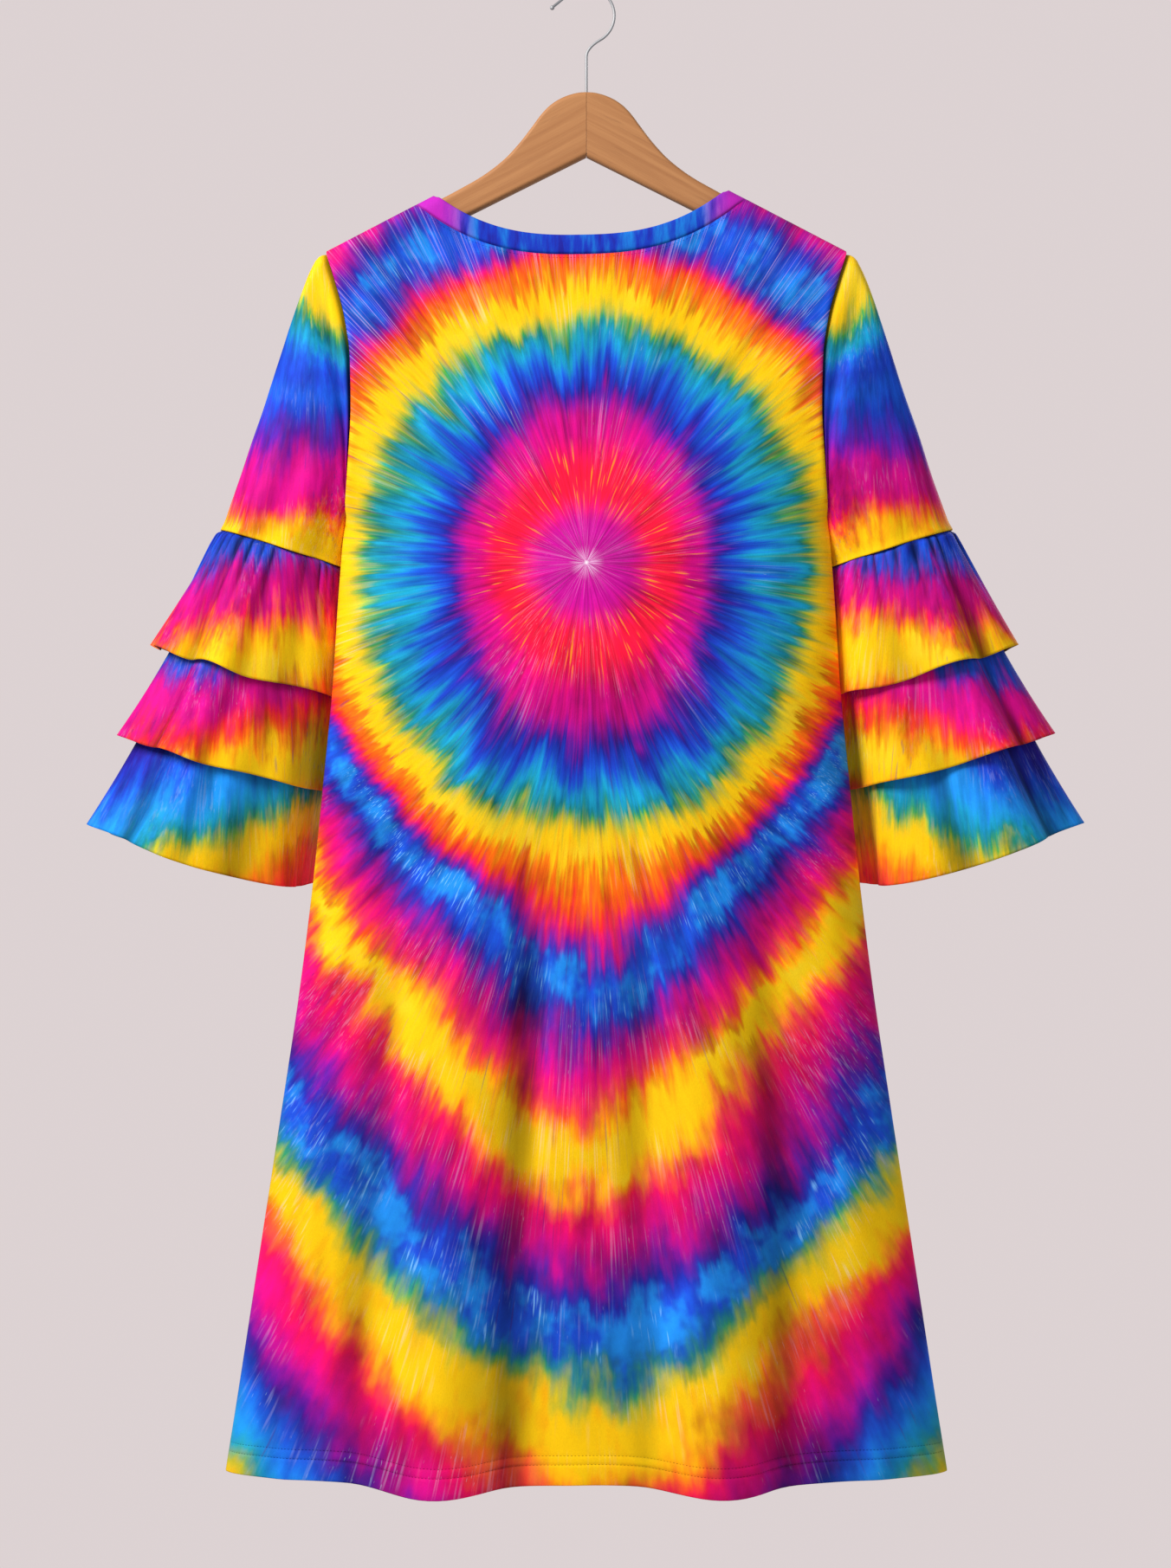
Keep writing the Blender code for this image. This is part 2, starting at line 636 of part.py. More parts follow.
def hook_path():
    """Centre line of the wire: stem, bend, round loop and a straight tip, with a ball at its end."""
    centre = np.array((0.0, WIRE_RADIUS - HOOK_RADIUS))
    start = math.radians(HOOK_START_DEG)
    end = math.radians(HOOK_END_DEG)
    loop_start = centre + HOOK_RADIUS * np.array((math.cos(start), math.sin(start)))
    heading = np.array((-math.sin(start), math.cos(start)))
    stem_top = np.array((0.0, STEM_TOP_Z))
    knee = np.array((0.0, loop_start[1] - loop_start[0] * heading[1] / heading[0]))
    path = [(0.0, BORE_BOTTOM_Z + SEAM_GAP), (0.0, (BORE_BOTTOM_Z + STEM_TOP_Z) / 2)]
    for t in np.linspace(0, 1, 7)[:-1]:
        point = (1 - t) ** 2 * stem_top + 2 * t * (1 - t) * knee + t * t * loop_start
        path.append(tuple(point))
    for angle in np.linspace(start, end, 22):
        path.append(tuple(centre + HOOK_RADIUS * np.array((math.cos(angle), math.sin(angle)))))
    radii = [1.0] * len(path)
    last = np.array(path[-1])
    heading = np.array((-math.sin(end), math.cos(end)))
    ball = BALL_RADIUS / WIRE_RADIUS
    length = HOOK_TIP_LENGTH - BALL_RADIUS
    path.append(tuple(last + heading * (length - BALL_RADIUS * 0.75)))
    radii.append(1.0)
    for turn in (-0.5, 0.0, 0.5, 0.95):
        path.append(tuple(last + heading * (length + BALL_RADIUS * turn)))
        radii.append(ball * math.sqrt(1 - turn * turn))
    return path, radii


def build_hook(steel):
    path, radii = hook_path()
    curve = bpy.data.curves.new("hanger_hook", "CURVE")
    curve.dimensions = "3D"
    curve.bevel_depth = WIRE_RADIUS * MM
    curve.bevel_resolution = WIRE_SIDES_RESOLUTION
    curve.use_fill_caps = True
    spline = curve.splines.new("POLY")
    spline.points.add(len(path) - 1)
    for point, (x, z), radius in zip(spline.points, path, radii):
        point.co = (x * MM, 0, z * MM, 1)
        point.radius = radius
    curve.materials.append(steel)
    hook = bpy.data.objects.new("hanger_hook", curve)
    bpy.context.scene.collection.objects.link(hook)


def main():
    for thing in list(bpy.data.objects):
        bpy.data.objects.remove(thing)
    cloth = {
        "back": plain_material("Back panel jersey", (0.55, 0.03, 0.25), 0.75),
        "front": plain_material("Front panel jersey", (0.10, 0.12, 0.60), 0.75),
        "band": plain_material("Neckband jersey", (0.03, 0.20, 0.65), 0.75),
        "sleeve": plain_material("Sleeve jersey", (0.08, 0.08, 0.50), 0.75),
        "ruffle_top": plain_material("Top ruffle jersey", (0.70, 0.05, 0.20), 0.75),
        "ruffle_middle": plain_material("Middle ruffle jersey", (0.35, 0.05, 0.50), 0.75),
        "ruffle_bottom": plain_material("Bottom ruffle jersey", (0.05, 0.35, 0.65), 0.75),
    }
    wood = plain_material("Light brown wood", (0.55, 0.33, 0.17), 0.45)
    steel = plain_material("Bright steel wire", (0.75, 0.75, 0.77), 0.25, metallic=1.0)
    back = build_panel(
        "back_panel", -1, BACK_NECK_DROP, BACK_NECK_POWER, BACK_FOLDS, cloth["back"]
    )
    front = build_panel(
        "front_panel", 1, FRONT_NECK_DROP, FRONT_NECK_POWER, FRONT_FOLDS, cloth["front"]
    )
    build_neckband(back, front, cloth["band"])
    build_sleeve(-1, "left", back, front, cloth)
    build_sleeve(1, "right", back, front, cloth)
    cutter = stem_bore()
    build_hanger_arm(-1, "left", cutter, wood)
    build_hanger_arm(1, "right", cutter, wood)
    build_hook(steel)


main()
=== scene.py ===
"""Looks of a tie-dyed ruffle sleeve dress on a wooden clothes hanger.

The back of the dress faces -Y. Lengths are written in millimetres and turned into metres as
each mesh is placed. X runs across the shoulders and Z up, from the top of the hook's inside.
"""

import math
from collections import namedtuple

import bmesh
import bpy
import numpy as np
from mathutils import Matrix, Vector, noise


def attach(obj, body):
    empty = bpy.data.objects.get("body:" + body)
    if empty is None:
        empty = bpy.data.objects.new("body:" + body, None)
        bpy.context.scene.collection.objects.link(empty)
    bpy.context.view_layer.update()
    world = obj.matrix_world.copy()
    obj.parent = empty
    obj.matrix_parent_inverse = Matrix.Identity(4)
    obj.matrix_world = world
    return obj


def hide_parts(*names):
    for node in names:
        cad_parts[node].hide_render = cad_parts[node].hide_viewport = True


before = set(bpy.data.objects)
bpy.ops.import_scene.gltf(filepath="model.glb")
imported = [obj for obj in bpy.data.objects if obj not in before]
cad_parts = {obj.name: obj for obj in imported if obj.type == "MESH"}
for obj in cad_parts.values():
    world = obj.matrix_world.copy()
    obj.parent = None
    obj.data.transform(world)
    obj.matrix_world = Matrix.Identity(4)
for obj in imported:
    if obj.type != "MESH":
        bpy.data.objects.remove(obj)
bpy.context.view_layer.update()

MM = 0.001
MERGE_WITHIN = 1e-7

# Walls of the cloth and the neckband, and the gaps at seams in the solids and in what shows.
CLOTH = 0.9
BAND_WALL = 1.8
SEAM_GAP = 0.3
VISIBLE_GAP = 0.12

# Depth of a hollow that is shaded in full, and the share of it that broad folds are given.
DEEP_FOLD = 3.2
BROAD_SHARE = 0.46

# Shoulder line and neck. The shoulders fall by this slope and round over within SHOULDER_TURN.
TIP_X = 204
TIP_Z = -206.2
SHOULDER_FALL = 0.52
SHOULDER_COS = math.cos(math.atan(SHOULDER_FALL))
SHOULDER_SIN = math.sin(math.atan(SHOULDER_FALL))
SHOULDER_TURN = 9.5
NECK_HALF = 130
NECK_SHIFT = -4.2
BAND_WIDTH = 15
BAND_FOLD_FROM = 0.9

# Armhole, opened at its sides by a share that goes with its power, and hem, which dips under each fold.
ARMHOLE_FALL = 209.8
ARMHOLE_OPEN = 0.8
ARMHOLE_POWER = 5
SIDE_ROUND_POWER = 2.5
HEM_Z = -1164
FOLD_DIP = 5.5
FOLD_SPREAD = 50
FOLD_TOP_Z = -760
FOLD_GROWTH_POWER = 1.3

# Half the body's width, and half its depth, by height.
BODY_WIDTH = (
    (-209, 204), (-231, 197), (-259, 189.5), (-291, 185), (-331, 184),
    (-376, 186.5), (-416, 190), (-471, 194.5), (-551, 199.8), (-626, 207),
    (-706, 215.3), (-791, 226), (-871, 238), (-991, 256.5), (-1111, 275),
    (-1164, 283.5),
)
BODY_DEPTH = (
    (-160, 10.5), (-216, 10.8), (-251, 14), (-311, 23), (-371, 30),
    (-416, 34), (-511, 38), (-631, 42), (-791, 47), (-941, 51),
    (-1091, 54), (-1164, 55),
)
FoldRow = namedtuple("FoldRow", "across depth")
PanelForm = namedtuple("PanelForm", "facing neck_drop neck_power folds")
BACK = PanelForm(-1, 42.5, 2.6, (FoldRow(-115, 30), FoldRow(104, 28)))
FRONT = PanelForm(1, 98, 2.6, (FoldRow(-172, 22), FoldRow(-8, 26), FoldRow(160, 24)))

# Places across and down a panel where its fine grid has a line, closest where a seam or stitches run.
SEAM_STEPS = (0, 0.4, 1, 1.8, 3, 4.6, 7, 10)
NECK_STEPS = (0, 0.6, 1.6, 3.2)
SIDE_FALL = TIP_Z - HEM_Z
TOP_FALLS = (0, 0.6, 1.4, 2.6, 4.2, 6.5, 9.5)
HEM_FALLS = (
    30, 25.6, 24.4, 23.6, 23, 22.4, 21.6, 20, 18.4, 17.2, 16.5, 16, 15.5, 14.8, 13.4, 11, 8, 5, 2.4, 0.8, 0,
)
LOWER_STITCHES = 16
UPPER_STITCHES = 23
NECK_STITCH_FALL = 2.6
Stitch = namedtuple("Stitch", "length gap thickness")
HEM_STITCH = Stitch(1.9, 0.9, 0.55)
NECK_STITCH = Stitch(1.8, 1, 0.4)
PANEL_STEP = 4.6
PANEL_ROW_STEP = 6

# Sleeve: the seam at its end is an oval in a tilted plane. X runs outward.
CUFF_OUTER = (286.3, 4, -425.5)
CUFF_INNER_X = 190
CUFF_INNER_Y = 36
CUFF_HALF_DEPTH = 36
CUFF_TILT = math.radians(17)
OVAL_POWER = 2.2
CAP_BULGE = 8.8
CAP_BULGE_START = 0.035
UNDERARM_BULGE = 1
SLEEVE_FULLNESS = 5
SLEEVE_LENGTH = 225
SLEEVE_STEP = 4.5

Ruffle = namedtuple(
    "Ruffle",
    "name outer_x outer_z bow inner_x inner_y half_depth depth_bow sag layer waves wave_depth phase length",
)
RUFFLES = (
    Ruffle("top", 338.3, -516, 0, 193, 62, 60, 0, 3, 1.7, 7, 4.5, 0.4, 104),
    Ruffle("middle", 366.5, -586, 6.9, 206, 70, 66, 4, 3, 0, 7, 4.5, 1.3, 179),
    Ruffle("bottom", 389, -656.7, 10.3, 221, 78, 70, 6, 10, -1.7, 6, 5.5, 2.1, 252),
)
RUFFLE_HEM_Y = 6
WAVE_GROWTH_POWER = 1.5
WAVE_SIDE_SHIFT = 0.7
GATHERS = 32
RUFFLE_COLUMNS = 320
RUFFLE_TOP_ROWS = (0, 0.8, 1.8, 3, 4.5, 6.5, 9, 12, 15.5, 19.5, 24, 29, 34.5, 40)
RUFFLE_STEP = 6.5
# How far gathers and soft folds stand out, and how much painted shade lies between gathers, by distance from
# the ruffle's seam.
GATHER_HEIGHT = ((0, 0.6), (3, 2.4), (12, 3.4), (26, 2.5), (48, 1), (80, 0.2), (110, 0))
GATHER_PAINTED_SHADE = ((0, 0.5), (4, 1), (11, 0.9), (21, 0.5), (36, 0.2), (70, 0))
SOFT_FOLD_HEIGHT = ((0, 0), (16, 1), (45, 2.2), (104, 1.5), (180, 1.5), (252, 1.3))
SEAM_TUCK = 1.9
GATHER_SHADE = 1.35
HEM_RISE = 2.6
HEM_FLATTER = 0.042
RIGHT_SHORTER = 4.5
SLOW_FOLD = 3.6
INNER_STEP_X = 228
INNER_STEP_DEPTH = 1.6

# Ridges and furrows that run along an edge: how far from it, how wide, and how high.
Ridge = namedtuple("Ridge", "at width height")
ARMHOLE_RIDGES = (Ridge(0, 0.9, -0.7), Ridge(3.5, 2.6, 0.5))
NECK_RIDGES = (Ridge(0, 1.6, -0.5), Ridge(6, 3.5, 0.3))
HEM_RIDGES = (Ridge(LOWER_STITCHES, 1, -0.55), Ridge(UPPER_STITCHES, 0.9, -0.28))
CAP_RIDGES = (Ridge(0, 2.4, -2.8), Ridge(7, 4, 0.5))
CUFF_RIDGES = (Ridge(0, 5, 1.2), Ridge(0, 0.7, -0.5))
CAP_SWELL = (Ridge(20, 13, -3.4), Ridge(62, 30, 2.8))

# The neckband's rows: how far up the band, and how far it rolls out there.
BAND_ROLL = (
    (-0.12, -1.5), (-0.03, -1), (0.03, -0.3), (0.08, 0.3), (0.16, 0.6), (0.3, 0.75), (0.5, 0.8),
    (0.7, 0.75), (0.86, 0.6), (0.95, 0.3), (1, -0.1),
)

# Soft ridges and troughs of the body, given one by one: both ends, how wide, and how high.
Crease = namedtuple("Crease", "x_from z_from x_to z_to width height")
BACK_CREASES = (
    Crease(-86, -540, -116, -1170, 27, 6), Crease(74, -560, 104, -1170, 27, 5.6),
    Crease(-46, -600, -60, -1170, 19, -5.2), Crease(128, -620, 158, -1170, 18, -4.6),
    Crease(38, -640, 42, -1170, 18, -3.6), Crease(-152, -640, -184, -1170, 19, -3.6),
    Crease(-176, -560, -236, -1170, 14, 3.2), Crease(176, -600, 226, -1170, 16, 3),
    Crease(-8, -660, -14, -1170, 17, 2.6), Crease(-20, -720, -34, -1000, 8, 1.4),
    Crease(100, -760, 128, -1060, 9, 1.6), Crease(-120, -700, -150, -980, 9, 1.5),
    Crease(-164, -236, -70, -318, 10, 1.6), Crease(158, -238, 74, -324, 10, 1.5),
    Crease(-150, -250, -96, -330, 7, -1.1), Crease(148, -256, 98, -336, 7, -1),
    Crease(-178, -404, -112, -352, 12, 2), Crease(178, -408, 118, -360, 12, 1.9),
    Crease(-182, -440, -120, -470, 13, 1.6), Crease(183, -446, 126, -480, 13, 1.5),
    Crease(-184, -500, -128, -590, 13, 1.6), Crease(186, -510, 136, -600, 13, 1.5),
    Crease(-60, -226, -34, -300, 10, 1), Crease(56, -228, 30, -306, 10, 1),
    Crease(-30, -420, -46, -620, 16, 1.5), Crease(36, -430, 44, -600, 16, -1.4),
)
FRONT_CREASES = (
    Crease(-128, -520, -172, -1170, 24, 3.8), Crease(-6, -500, -8, -1170, 26, 3.6),
    Crease(116, -540, 160, -1170, 24, 3.8), Crease(-76, -600, -92, -1170, 20, -3.2),
    Crease(66, -580, 76, -1170, 20, -3), Crease(-186, -640, -236, -1170, 15, -2),
    Crease(184, -620, 230, -1170, 15, -2.2), Crease(-160, -240, -96, -350, 12, 1.2),
    Crease(156, -244, 92, -346, 12, 1.2), Crease(-178, -410, -100, -372, 14, 1.4),
    Crease(179, -404, 104, -366, 14, 1.3), Crease(-30, -340, -18, -470, 16, 0.9),
)

# Soft folds of a sleeve: place round it in degrees, width in degrees, height, and where along it they start.
SleeveFold = namedtuple("SleeveFold", "angle width height start")
SLEEVE_FOLDS = (
    SleeveFold(38, 13, 1.8, 0.15), SleeveFold(62, 10, -1.6, 0.3),
    SleeveFold(84, 13, 2.2, 0.1), SleeveFold(108, 10, -1.9, 0.25),
    SleeveFold(128, 12, 1.5, 0.35), SleeveFold(205, 14, 1.8, 0.2),
    SleeveFold(236, 11, -1.8, 0.3), SleeveFold(268, 15, 2.4, 0.1),
    SleeveFold(302, 12, -1.7, 0.3), SleeveFold(330, 13, 1.4, 0.2),
)

# Wooden arm: its top and bottom edge by distance out from the glued joint.
ArmRow = namedtuple("ArmRow", "out top bottom")
ARM_PROFILE = (
    ArmRow(0, -81.6, -132.4), ArmRow(5, -81.9, -134.9), ArmRow(12, -83.4, -138.4),
    ArmRow(20, -86.5, -142.4), ArmRow(28, -91.6, -146.4), ArmRow(35, -98.6, -149.9),
    ArmRow(42, -108, -153.4), ArmRow(53, -122.2, -158.9), ArmRow(65, -134.9, -164.9),
    ArmRow(82, -147.8, -173.4), ArmRow(99, -157.6, -181.9), ArmRow(114, -165.6, -189.4),
    ArmRow(134, -175.3, -199), ArmRow(150, -183.6, -205.8), ArmRow(188, -203.4, -221.7),
)
ARM_HALF_THICKNESS = 6
ARM_EDGE_RADIUS = 3.8
ARM_END = 3.5
ARM_STEP = 2

# Hook wire.
HOOK_RADIUS = 22
WIRE_RADIUS = 1.1
STEM_TOP_Z = -53.6
STEM_FOOT_Z = -111.7
HOOK_START_DEG = -60
HOOK_END_DEG = 130
HOOK_TIP_LENGTH = 18.5
BALL_RADIUS = 1.9
GLUE_TOP_Z = -84.6
GLUE_BOTTOM_Z = -130.6

# Dyes, as linear colours.
DYE = {
    "heart": (0.52, 0.004, 0.27),
    "red": (0.88, 0.009, 0.045),
    "hot_pink": (0.74, 0.003, 0.13),
    "magenta": (0.58, 0.003, 0.20),
    "orchid": (0.50, 0.020, 0.46),
    "purple": (0.20, 0.006, 0.30),
    "violet": (0.085, 0.010, 0.34),
    "indigo": (0.018, 0.009, 0.25),
    "royal": (0.012, 0.040, 0.48),
    "blue": (0.010, 0.095, 0.62),
    "sky": (0.014, 0.25, 0.75),
    "cyan": (0.010, 0.31, 0.52),
    "teal": (0.006, 0.19, 0.23),
    "green": (0.050, 0.34, 0.05),
    "yellow": (0.92, 0.55, 0.004),
    "orange": (0.92, 0.15, 0.005),
    "ember": (0.88, 0.050, 0.010),
}

# Dye bands by distance from the middle of the bullseye, in millimetres.
INNER_BANDS = (
    (0, "heart"), (36, "heart"), (54, "red"), (80, "red"), (96, "hot_pink"), (108, "magenta"),
    (124, "magenta"), (134, "purple"), (143, "indigo"), (155, "royal"), (168, "blue"), (177, "cyan"),
    (185, "cyan"), (192, "teal"), (201, "green"), (213, "yellow"), (230, "yellow"), (243, "orange"),
    (256, "orange"), (267, "ember"), (278, "red"), (286, "magenta"), (295, "violet"), (308, "royal"),
    (330, "blue"), (346, "royal"), (358, "indigo"), (372, "purple"),
)
OUTER_BANDS = (
    (358, "indigo"), (369, "purple"), (380, "magenta"), (402, "hot_pink"), (420, "ember"), (429, "orange"),
    (441, "yellow"), (478, "yellow"), (490, "orange"), (502, "red"), (518, "hot_pink"), (545, "magenta"),
    (562, "purple"), (574, "indigo"), (592, "royal"), (610, "blue"), (622, "royal"), (633, "teal"),
    (646, "green"), (663, "yellow"), (704, "yellow"), (720, "orange"), (735, "red"), (756, "hot_pink"),
    (782, "magenta"), (802, "purple"), (822, "indigo"), (852, "blue"), (880, "sky"), (905, "cyan"),
    (922, "green"), (945, "yellow"),
)
# Where the second table takes over, how far apart the three dips are, and how blunt a chevron's point is.
BAND_SWITCH = 365
DIP_APART = 6.5
CHEVRON_POINT = 38
BULLSEYE_DROP = 453.4

# Dye bands of the sleeve and ruffles, by drop below the origin measured at the piece's own middle.
SLEEVE_BANDS = (
    (200, "yellow"), (222, "yellow"), (238, "green"), (248, "teal"), (262, "cyan"), (280, "blue"),
    (300, "royal"), (318, "blue"), (336, "royal"), (352, "violet"), (364, "purple"), (376, "magenta"),
    (400, "magenta"), (411, "red"), (419, "orange"), (432, "yellow"), (470, "yellow"),
)
TOP_BANDS = (
    (440, "royal"), (452, "blue"), (462, "violet"), (472, "magenta"), (490, "magenta"), (499, "red"),
    (507, "orange"), (519, "yellow"), (548, "yellow"), (562, "orange"), (578, "red"), (592, "magenta"),
)
MIDDLE_BANDS = (
    (510, "royal"), (526, "blue"), (538, "violet"), (548, "magenta"), (572, "magenta"), (583, "red"),
    (592, "ember"), (600, "orange"), (612, "yellow"), (634, "yellow"), (650, "orange"), (668, "red"),
    (680, "magenta"),
)
BOTTOM_BANDS = (
    (590, "indigo"), (606, "royal"), (620, "blue"), (632, "sky"), (644, "sky"), (655, "cyan"),
    (665, "teal"), (674, "green"), (688, "yellow"), (706, "yellow"), (724, "orange"), (744, "red"),
)
# Middle of the streaks' fan, how the bands tilt toward the body, where they are measured, and the tilt
# at the top of the piece, which only the sleeve has.
Slant = namedtuple("Slant", "fan_x fan_drop tilt from_x top_tilt")
SLEEVE_SLANT = Slant(214, 130, -0.02, 236, -1.1)
TOP_SLANT = Slant(250, 290, 0.10, 290, 0.10)
MIDDLE_SLANT = Slant(254, 290, 0.17, 311, 0.17)
BOTTOM_SLANT = Slant(262, 330, 0.41, 321, 0.41)

# Fine knit of the jersey, and how dark the painted shade makes the dye in the deepest fold.
KNIT_SCALE = (1150, 1150, 620)
KNIT_CONTRAST = 0.18
FOLD_SHADE = 0.26


def smooth_table(rows, at):
    """Reads a two-column table anywhere, along a curve that never swings past its rows."""
    table = np.array(sorted(rows), float)
    xs = table[:, 0]
    ys = table[:, 1]
    steps = np.diff(xs)
    slopes = np.diff(ys) / steps
    tangents = np.zeros(len(xs))
    tangents[0] = slopes[0]
    tangents[-1] = slopes[-1]
    for k in range(1, len(xs) - 1):
        if slopes[k - 1] * slopes[k] > 0:
            tangents[k] = 2 * slopes[k - 1] * slopes[k] / (slopes[k - 1] + slopes[k])
    at = np.clip(np.asarray(at, float), xs[0], xs[-1])
    k = np.clip(np.searchsorted(xs, at) - 1, 0, len(steps) - 1)
    t = (at - xs[k]) / steps[k]
    rise = ys[k + 1] - ys[k]
    start = tangents[k] * steps[k]
    end = tangents[k + 1] * steps[k]
    return ys[k] + t * (start + t * (3 * rise - 2 * start - end + t * (start + end - 2 * rise)))


def unit(vectors):
    vectors = np.asarray(vectors, float)
    return vectors / np.maximum(np.linalg.norm(vectors, axis=-1, keepdims=True), 1e-9)


def mirrored(points, side):
    return points * np.array((side, 1, 1))


def bell(distance, width):
    return np.exp(-((distance / width) ** 2))


def ridges_at(distance, ridges):
    """Height of a set of ridges and furrows at this distance from their edge."""
    return sum(ridge.height * bell(distance - ridge.at, ridge.width) for ridge in ridges)


def ease(value, low, high):
    t = np.clip((np.asarray(value, float) - low) / (high - low), 0, 1)
    return t * t * (3 - 2 * t)


def finer(places, step):
    """The same places, with even ones between them so that no gap is wider than the step."""
    found = [places[0]]
    for first, second in zip(places, places[1:]):
        count = max(1, math.ceil(abs(second - first) / step))
        found += [first + (second - first) * k / count for k in range(1, count + 1)]
    return found


def shoulder_height(x):
    return TIP_Z + (TIP_X - np.abs(x)) * SHOULDER_FALL


def neck_share(x):
    return (np.asarray(x, float) - NECK_SHIFT) / NECK_HALF


def neckline(x, form):
    left = shoulder_height(NECK_SHIFT - NECK_HALF)
    right = shoulder_height(NECK_SHIFT + NECK_HALF)
    share = np.clip(neck_share(x), -1, 1)
    straight = left + (right - left) * (share + 1) / 2
    return straight - form.neck_drop * (1 - np.abs(share) ** form.neck_power)


def fold_at(x, folds):
    depth = np.zeros_like(x)
    near = np.zeros_like(x)
    for fold in folds:
        bump = bell(x - fold.across, FOLD_SPREAD)
        depth = depth + fold.depth * bump
        near = near + bump
    return depth, near


def panel_depth(x, z, form):
    """Distance of a panel's outer face from the hanger's plane."""
    x = np.asarray(x, float)
    z = np.asarray(z, float)
    width = smooth_table(BODY_WIDTH, z)
    middle = smooth_table(BODY_DEPTH, z)
    below = np.clip((shoulder_height(x) - z) * SHOULDER_COS / SHOULDER_TURN, 0, 1)
    turn = np.sqrt(1 - (1 - below) ** 2)
    fall = np.clip((TIP_Z - z) / ARMHOLE_FALL, 0, 1)
    opening = ARMHOLE_OPEN * np.sqrt(1 - fall ** ARMHOLE_POWER)
    closed = 1 - opening ** 2
    side = np.sqrt(np.clip(1 - closed * np.clip(np.abs(x) / width, 0, 1) ** SIDE_ROUND_POWER, 0, 1))
    growth = np.clip((FOLD_TOP_Z - z) / (FOLD_TOP_Z - HEM_Z), 0, 1) ** FOLD_GROWTH_POWER
    depth, _ = fold_at(x, form.folds)
    return VISIBLE_GAP / 2 + middle * turn * side + depth * growth


def panel_columns():
    """Shares of the half-width for the columns of a panel, left edge to right edge."""
    both_ways = sorted({step * way for step in NECK_STEPS for way in (-1, 1)})
    marks = [step - TIP_X for step in SEAM_STEPS]
    for neck_end in (NECK_SHIFT - NECK_HALF, NECK_SHIFT + NECK_HALF):
        marks += [neck_end + step for step in both_ways]
    marks += [TIP_X - step for step in reversed(SEAM_STEPS)]
    return np.array(finer(marks, PANEL_STEP)) / TIP_X


SHARES = panel_columns()
FALLS = finer(
    list(TOP_FALLS) + [ARMHOLE_FALL] + [SIDE_FALL - rise for rise in HEM_FALLS], PANEL_ROW_STEP
)
UNDERARM_ROW = FALLS.index(ARMHOLE_FALL)


def crease_relief(x, z, creases):
    """Height of the listed ridges and troughs, each faded out at its ends."""
    relief = np.zeros_like(x)
    for crease in creases:
        start = np.array((crease.x_from, crease.z_from))
        run = np.array((crease.x_to, crease.z_to)) - start
        length = np.linalg.norm(run)
        along = ((x - start[0]) * run[0] + (z - start[1]) * run[1]) / length ** 2
        across = ((x - start[0]) * run[1] - (z - start[1]) * run[0]) / length
        wander = 0.16 * crease.width * np.sin(9 * along + crease.x_from)
        fade = ease(along, -0.05, 0.35)
        if crease.z_to > HEM_Z:
            fade = fade * ease(1.05 - along, 0, 0.4)
        relief = relief + crease.height * fade * bell(across + wander, crease.width)
    return relief


def unevenness(points, size, seed):
    """Slow, soft ups and downs of the cloth, from -1 to 1."""
    flat = points.reshape(-1, 3)
    values = [noise.noise(Vector(point) / size + Vector((seed, 0, 0))) for point in flat]
    return np.array(values).reshape(points.shape[:-1])


def panel_grid(form, creases):
    """Outer points and normals of a panel, with its folds, seams and hem pressed in."""
    # Outline: neck and shoulders above, hem below, side seams by height.
    across_top = SHARES * TIP_X
    over_neck = np.abs(neck_share(across_top)) < 1
    top = np.where(over_neck, neckline(across_top, form), shoulder_height(across_top))
    _, near = fold_at(SHARES * BODY_WIDTH[-1][1], form.folds)
    hem = HEM_Z - FOLD_DIP * near
    falls = np.array(FALLS)[:, None]
    z = top + (hem - top) * falls / SIDE_FALL
    x = SHARES * smooth_table(BODY_WIDTH, z)
    points = np.stack([x, form.facing * panel_depth(x, z, form), z], axis=-1)
    # Outward normals, which stay level along the side seams and square to the shoulder seams.
    normals = unit(np.cross(np.gradient(points, axis=1), np.gradient(points, axis=0)))
    if normals[-1, len(SHARES) // 2, 1] * form.facing < 0:
        normals = -normals
    normals[UNDERARM_ROW:, (0, -1), 1] = 0
    normals[0, ~over_neck] = (0, 0, 1)
    normals[0, ~over_neck, 0] = np.sign(SHARES[~over_neck]) * SHOULDER_FALL
    normals = unit(normals)
    # Broad creases, which die out toward the edges, then the seams and the stitched hem.
    edge = (1 - np.abs(SHARES)) * smooth_table(BODY_WIDTH, z)
    drop = (top - hem) * falls / SIDE_FALL
    rise = (top - hem) * (1 - falls / SIDE_FALL)
    quiet = ease(edge, 0, 24) * ease(drop, 0, 30)
    broad = crease_relief(x, z, creases) * quiet
    broad = broad + 0.9 * unevenness(points, 74, form.facing) * quiet
    beside_armhole = ease(falls, 6, 20) * (1 - ease(falls, ARMHOLE_FALL, ARMHOLE_FALL + 14))
    relief = ridges_at(edge, ARMHOLE_RIDGES) * beside_armhole
    along_neck = over_neck * ease(1 - np.abs(neck_share(across_top)), 0, 0.03)
    relief = relief + ridges_at(drop, NECK_RIDGES) * along_neck
    pucker = 0.16 * np.sin(x * 0.62 + 2.2 * np.sin(x * 0.051)) * bell(rise - 17, 9)
    rows = ridges_at(rise, HEM_RIDGES)
    doubled = 0.35 * (1 - ease(rise, 20, 25))
    turned = -0.5 * (1 - ease(rise, 0, 2.4))
    relief = relief + (rows + doubled + pucker + turned) * ease(edge, 0, 3)
    # Painted shade: the shade darkens the dye in seam grooves, creases and along the shoulder seam.
    shoulder_shade = 0.5 * DEEP_FOLD * bell(drop, 1.1) * ~over_neck
    shade = relief + BROAD_SHARE * broad - shoulder_shade
    return points + (relief + broad)[..., None] * normals, normals, shade


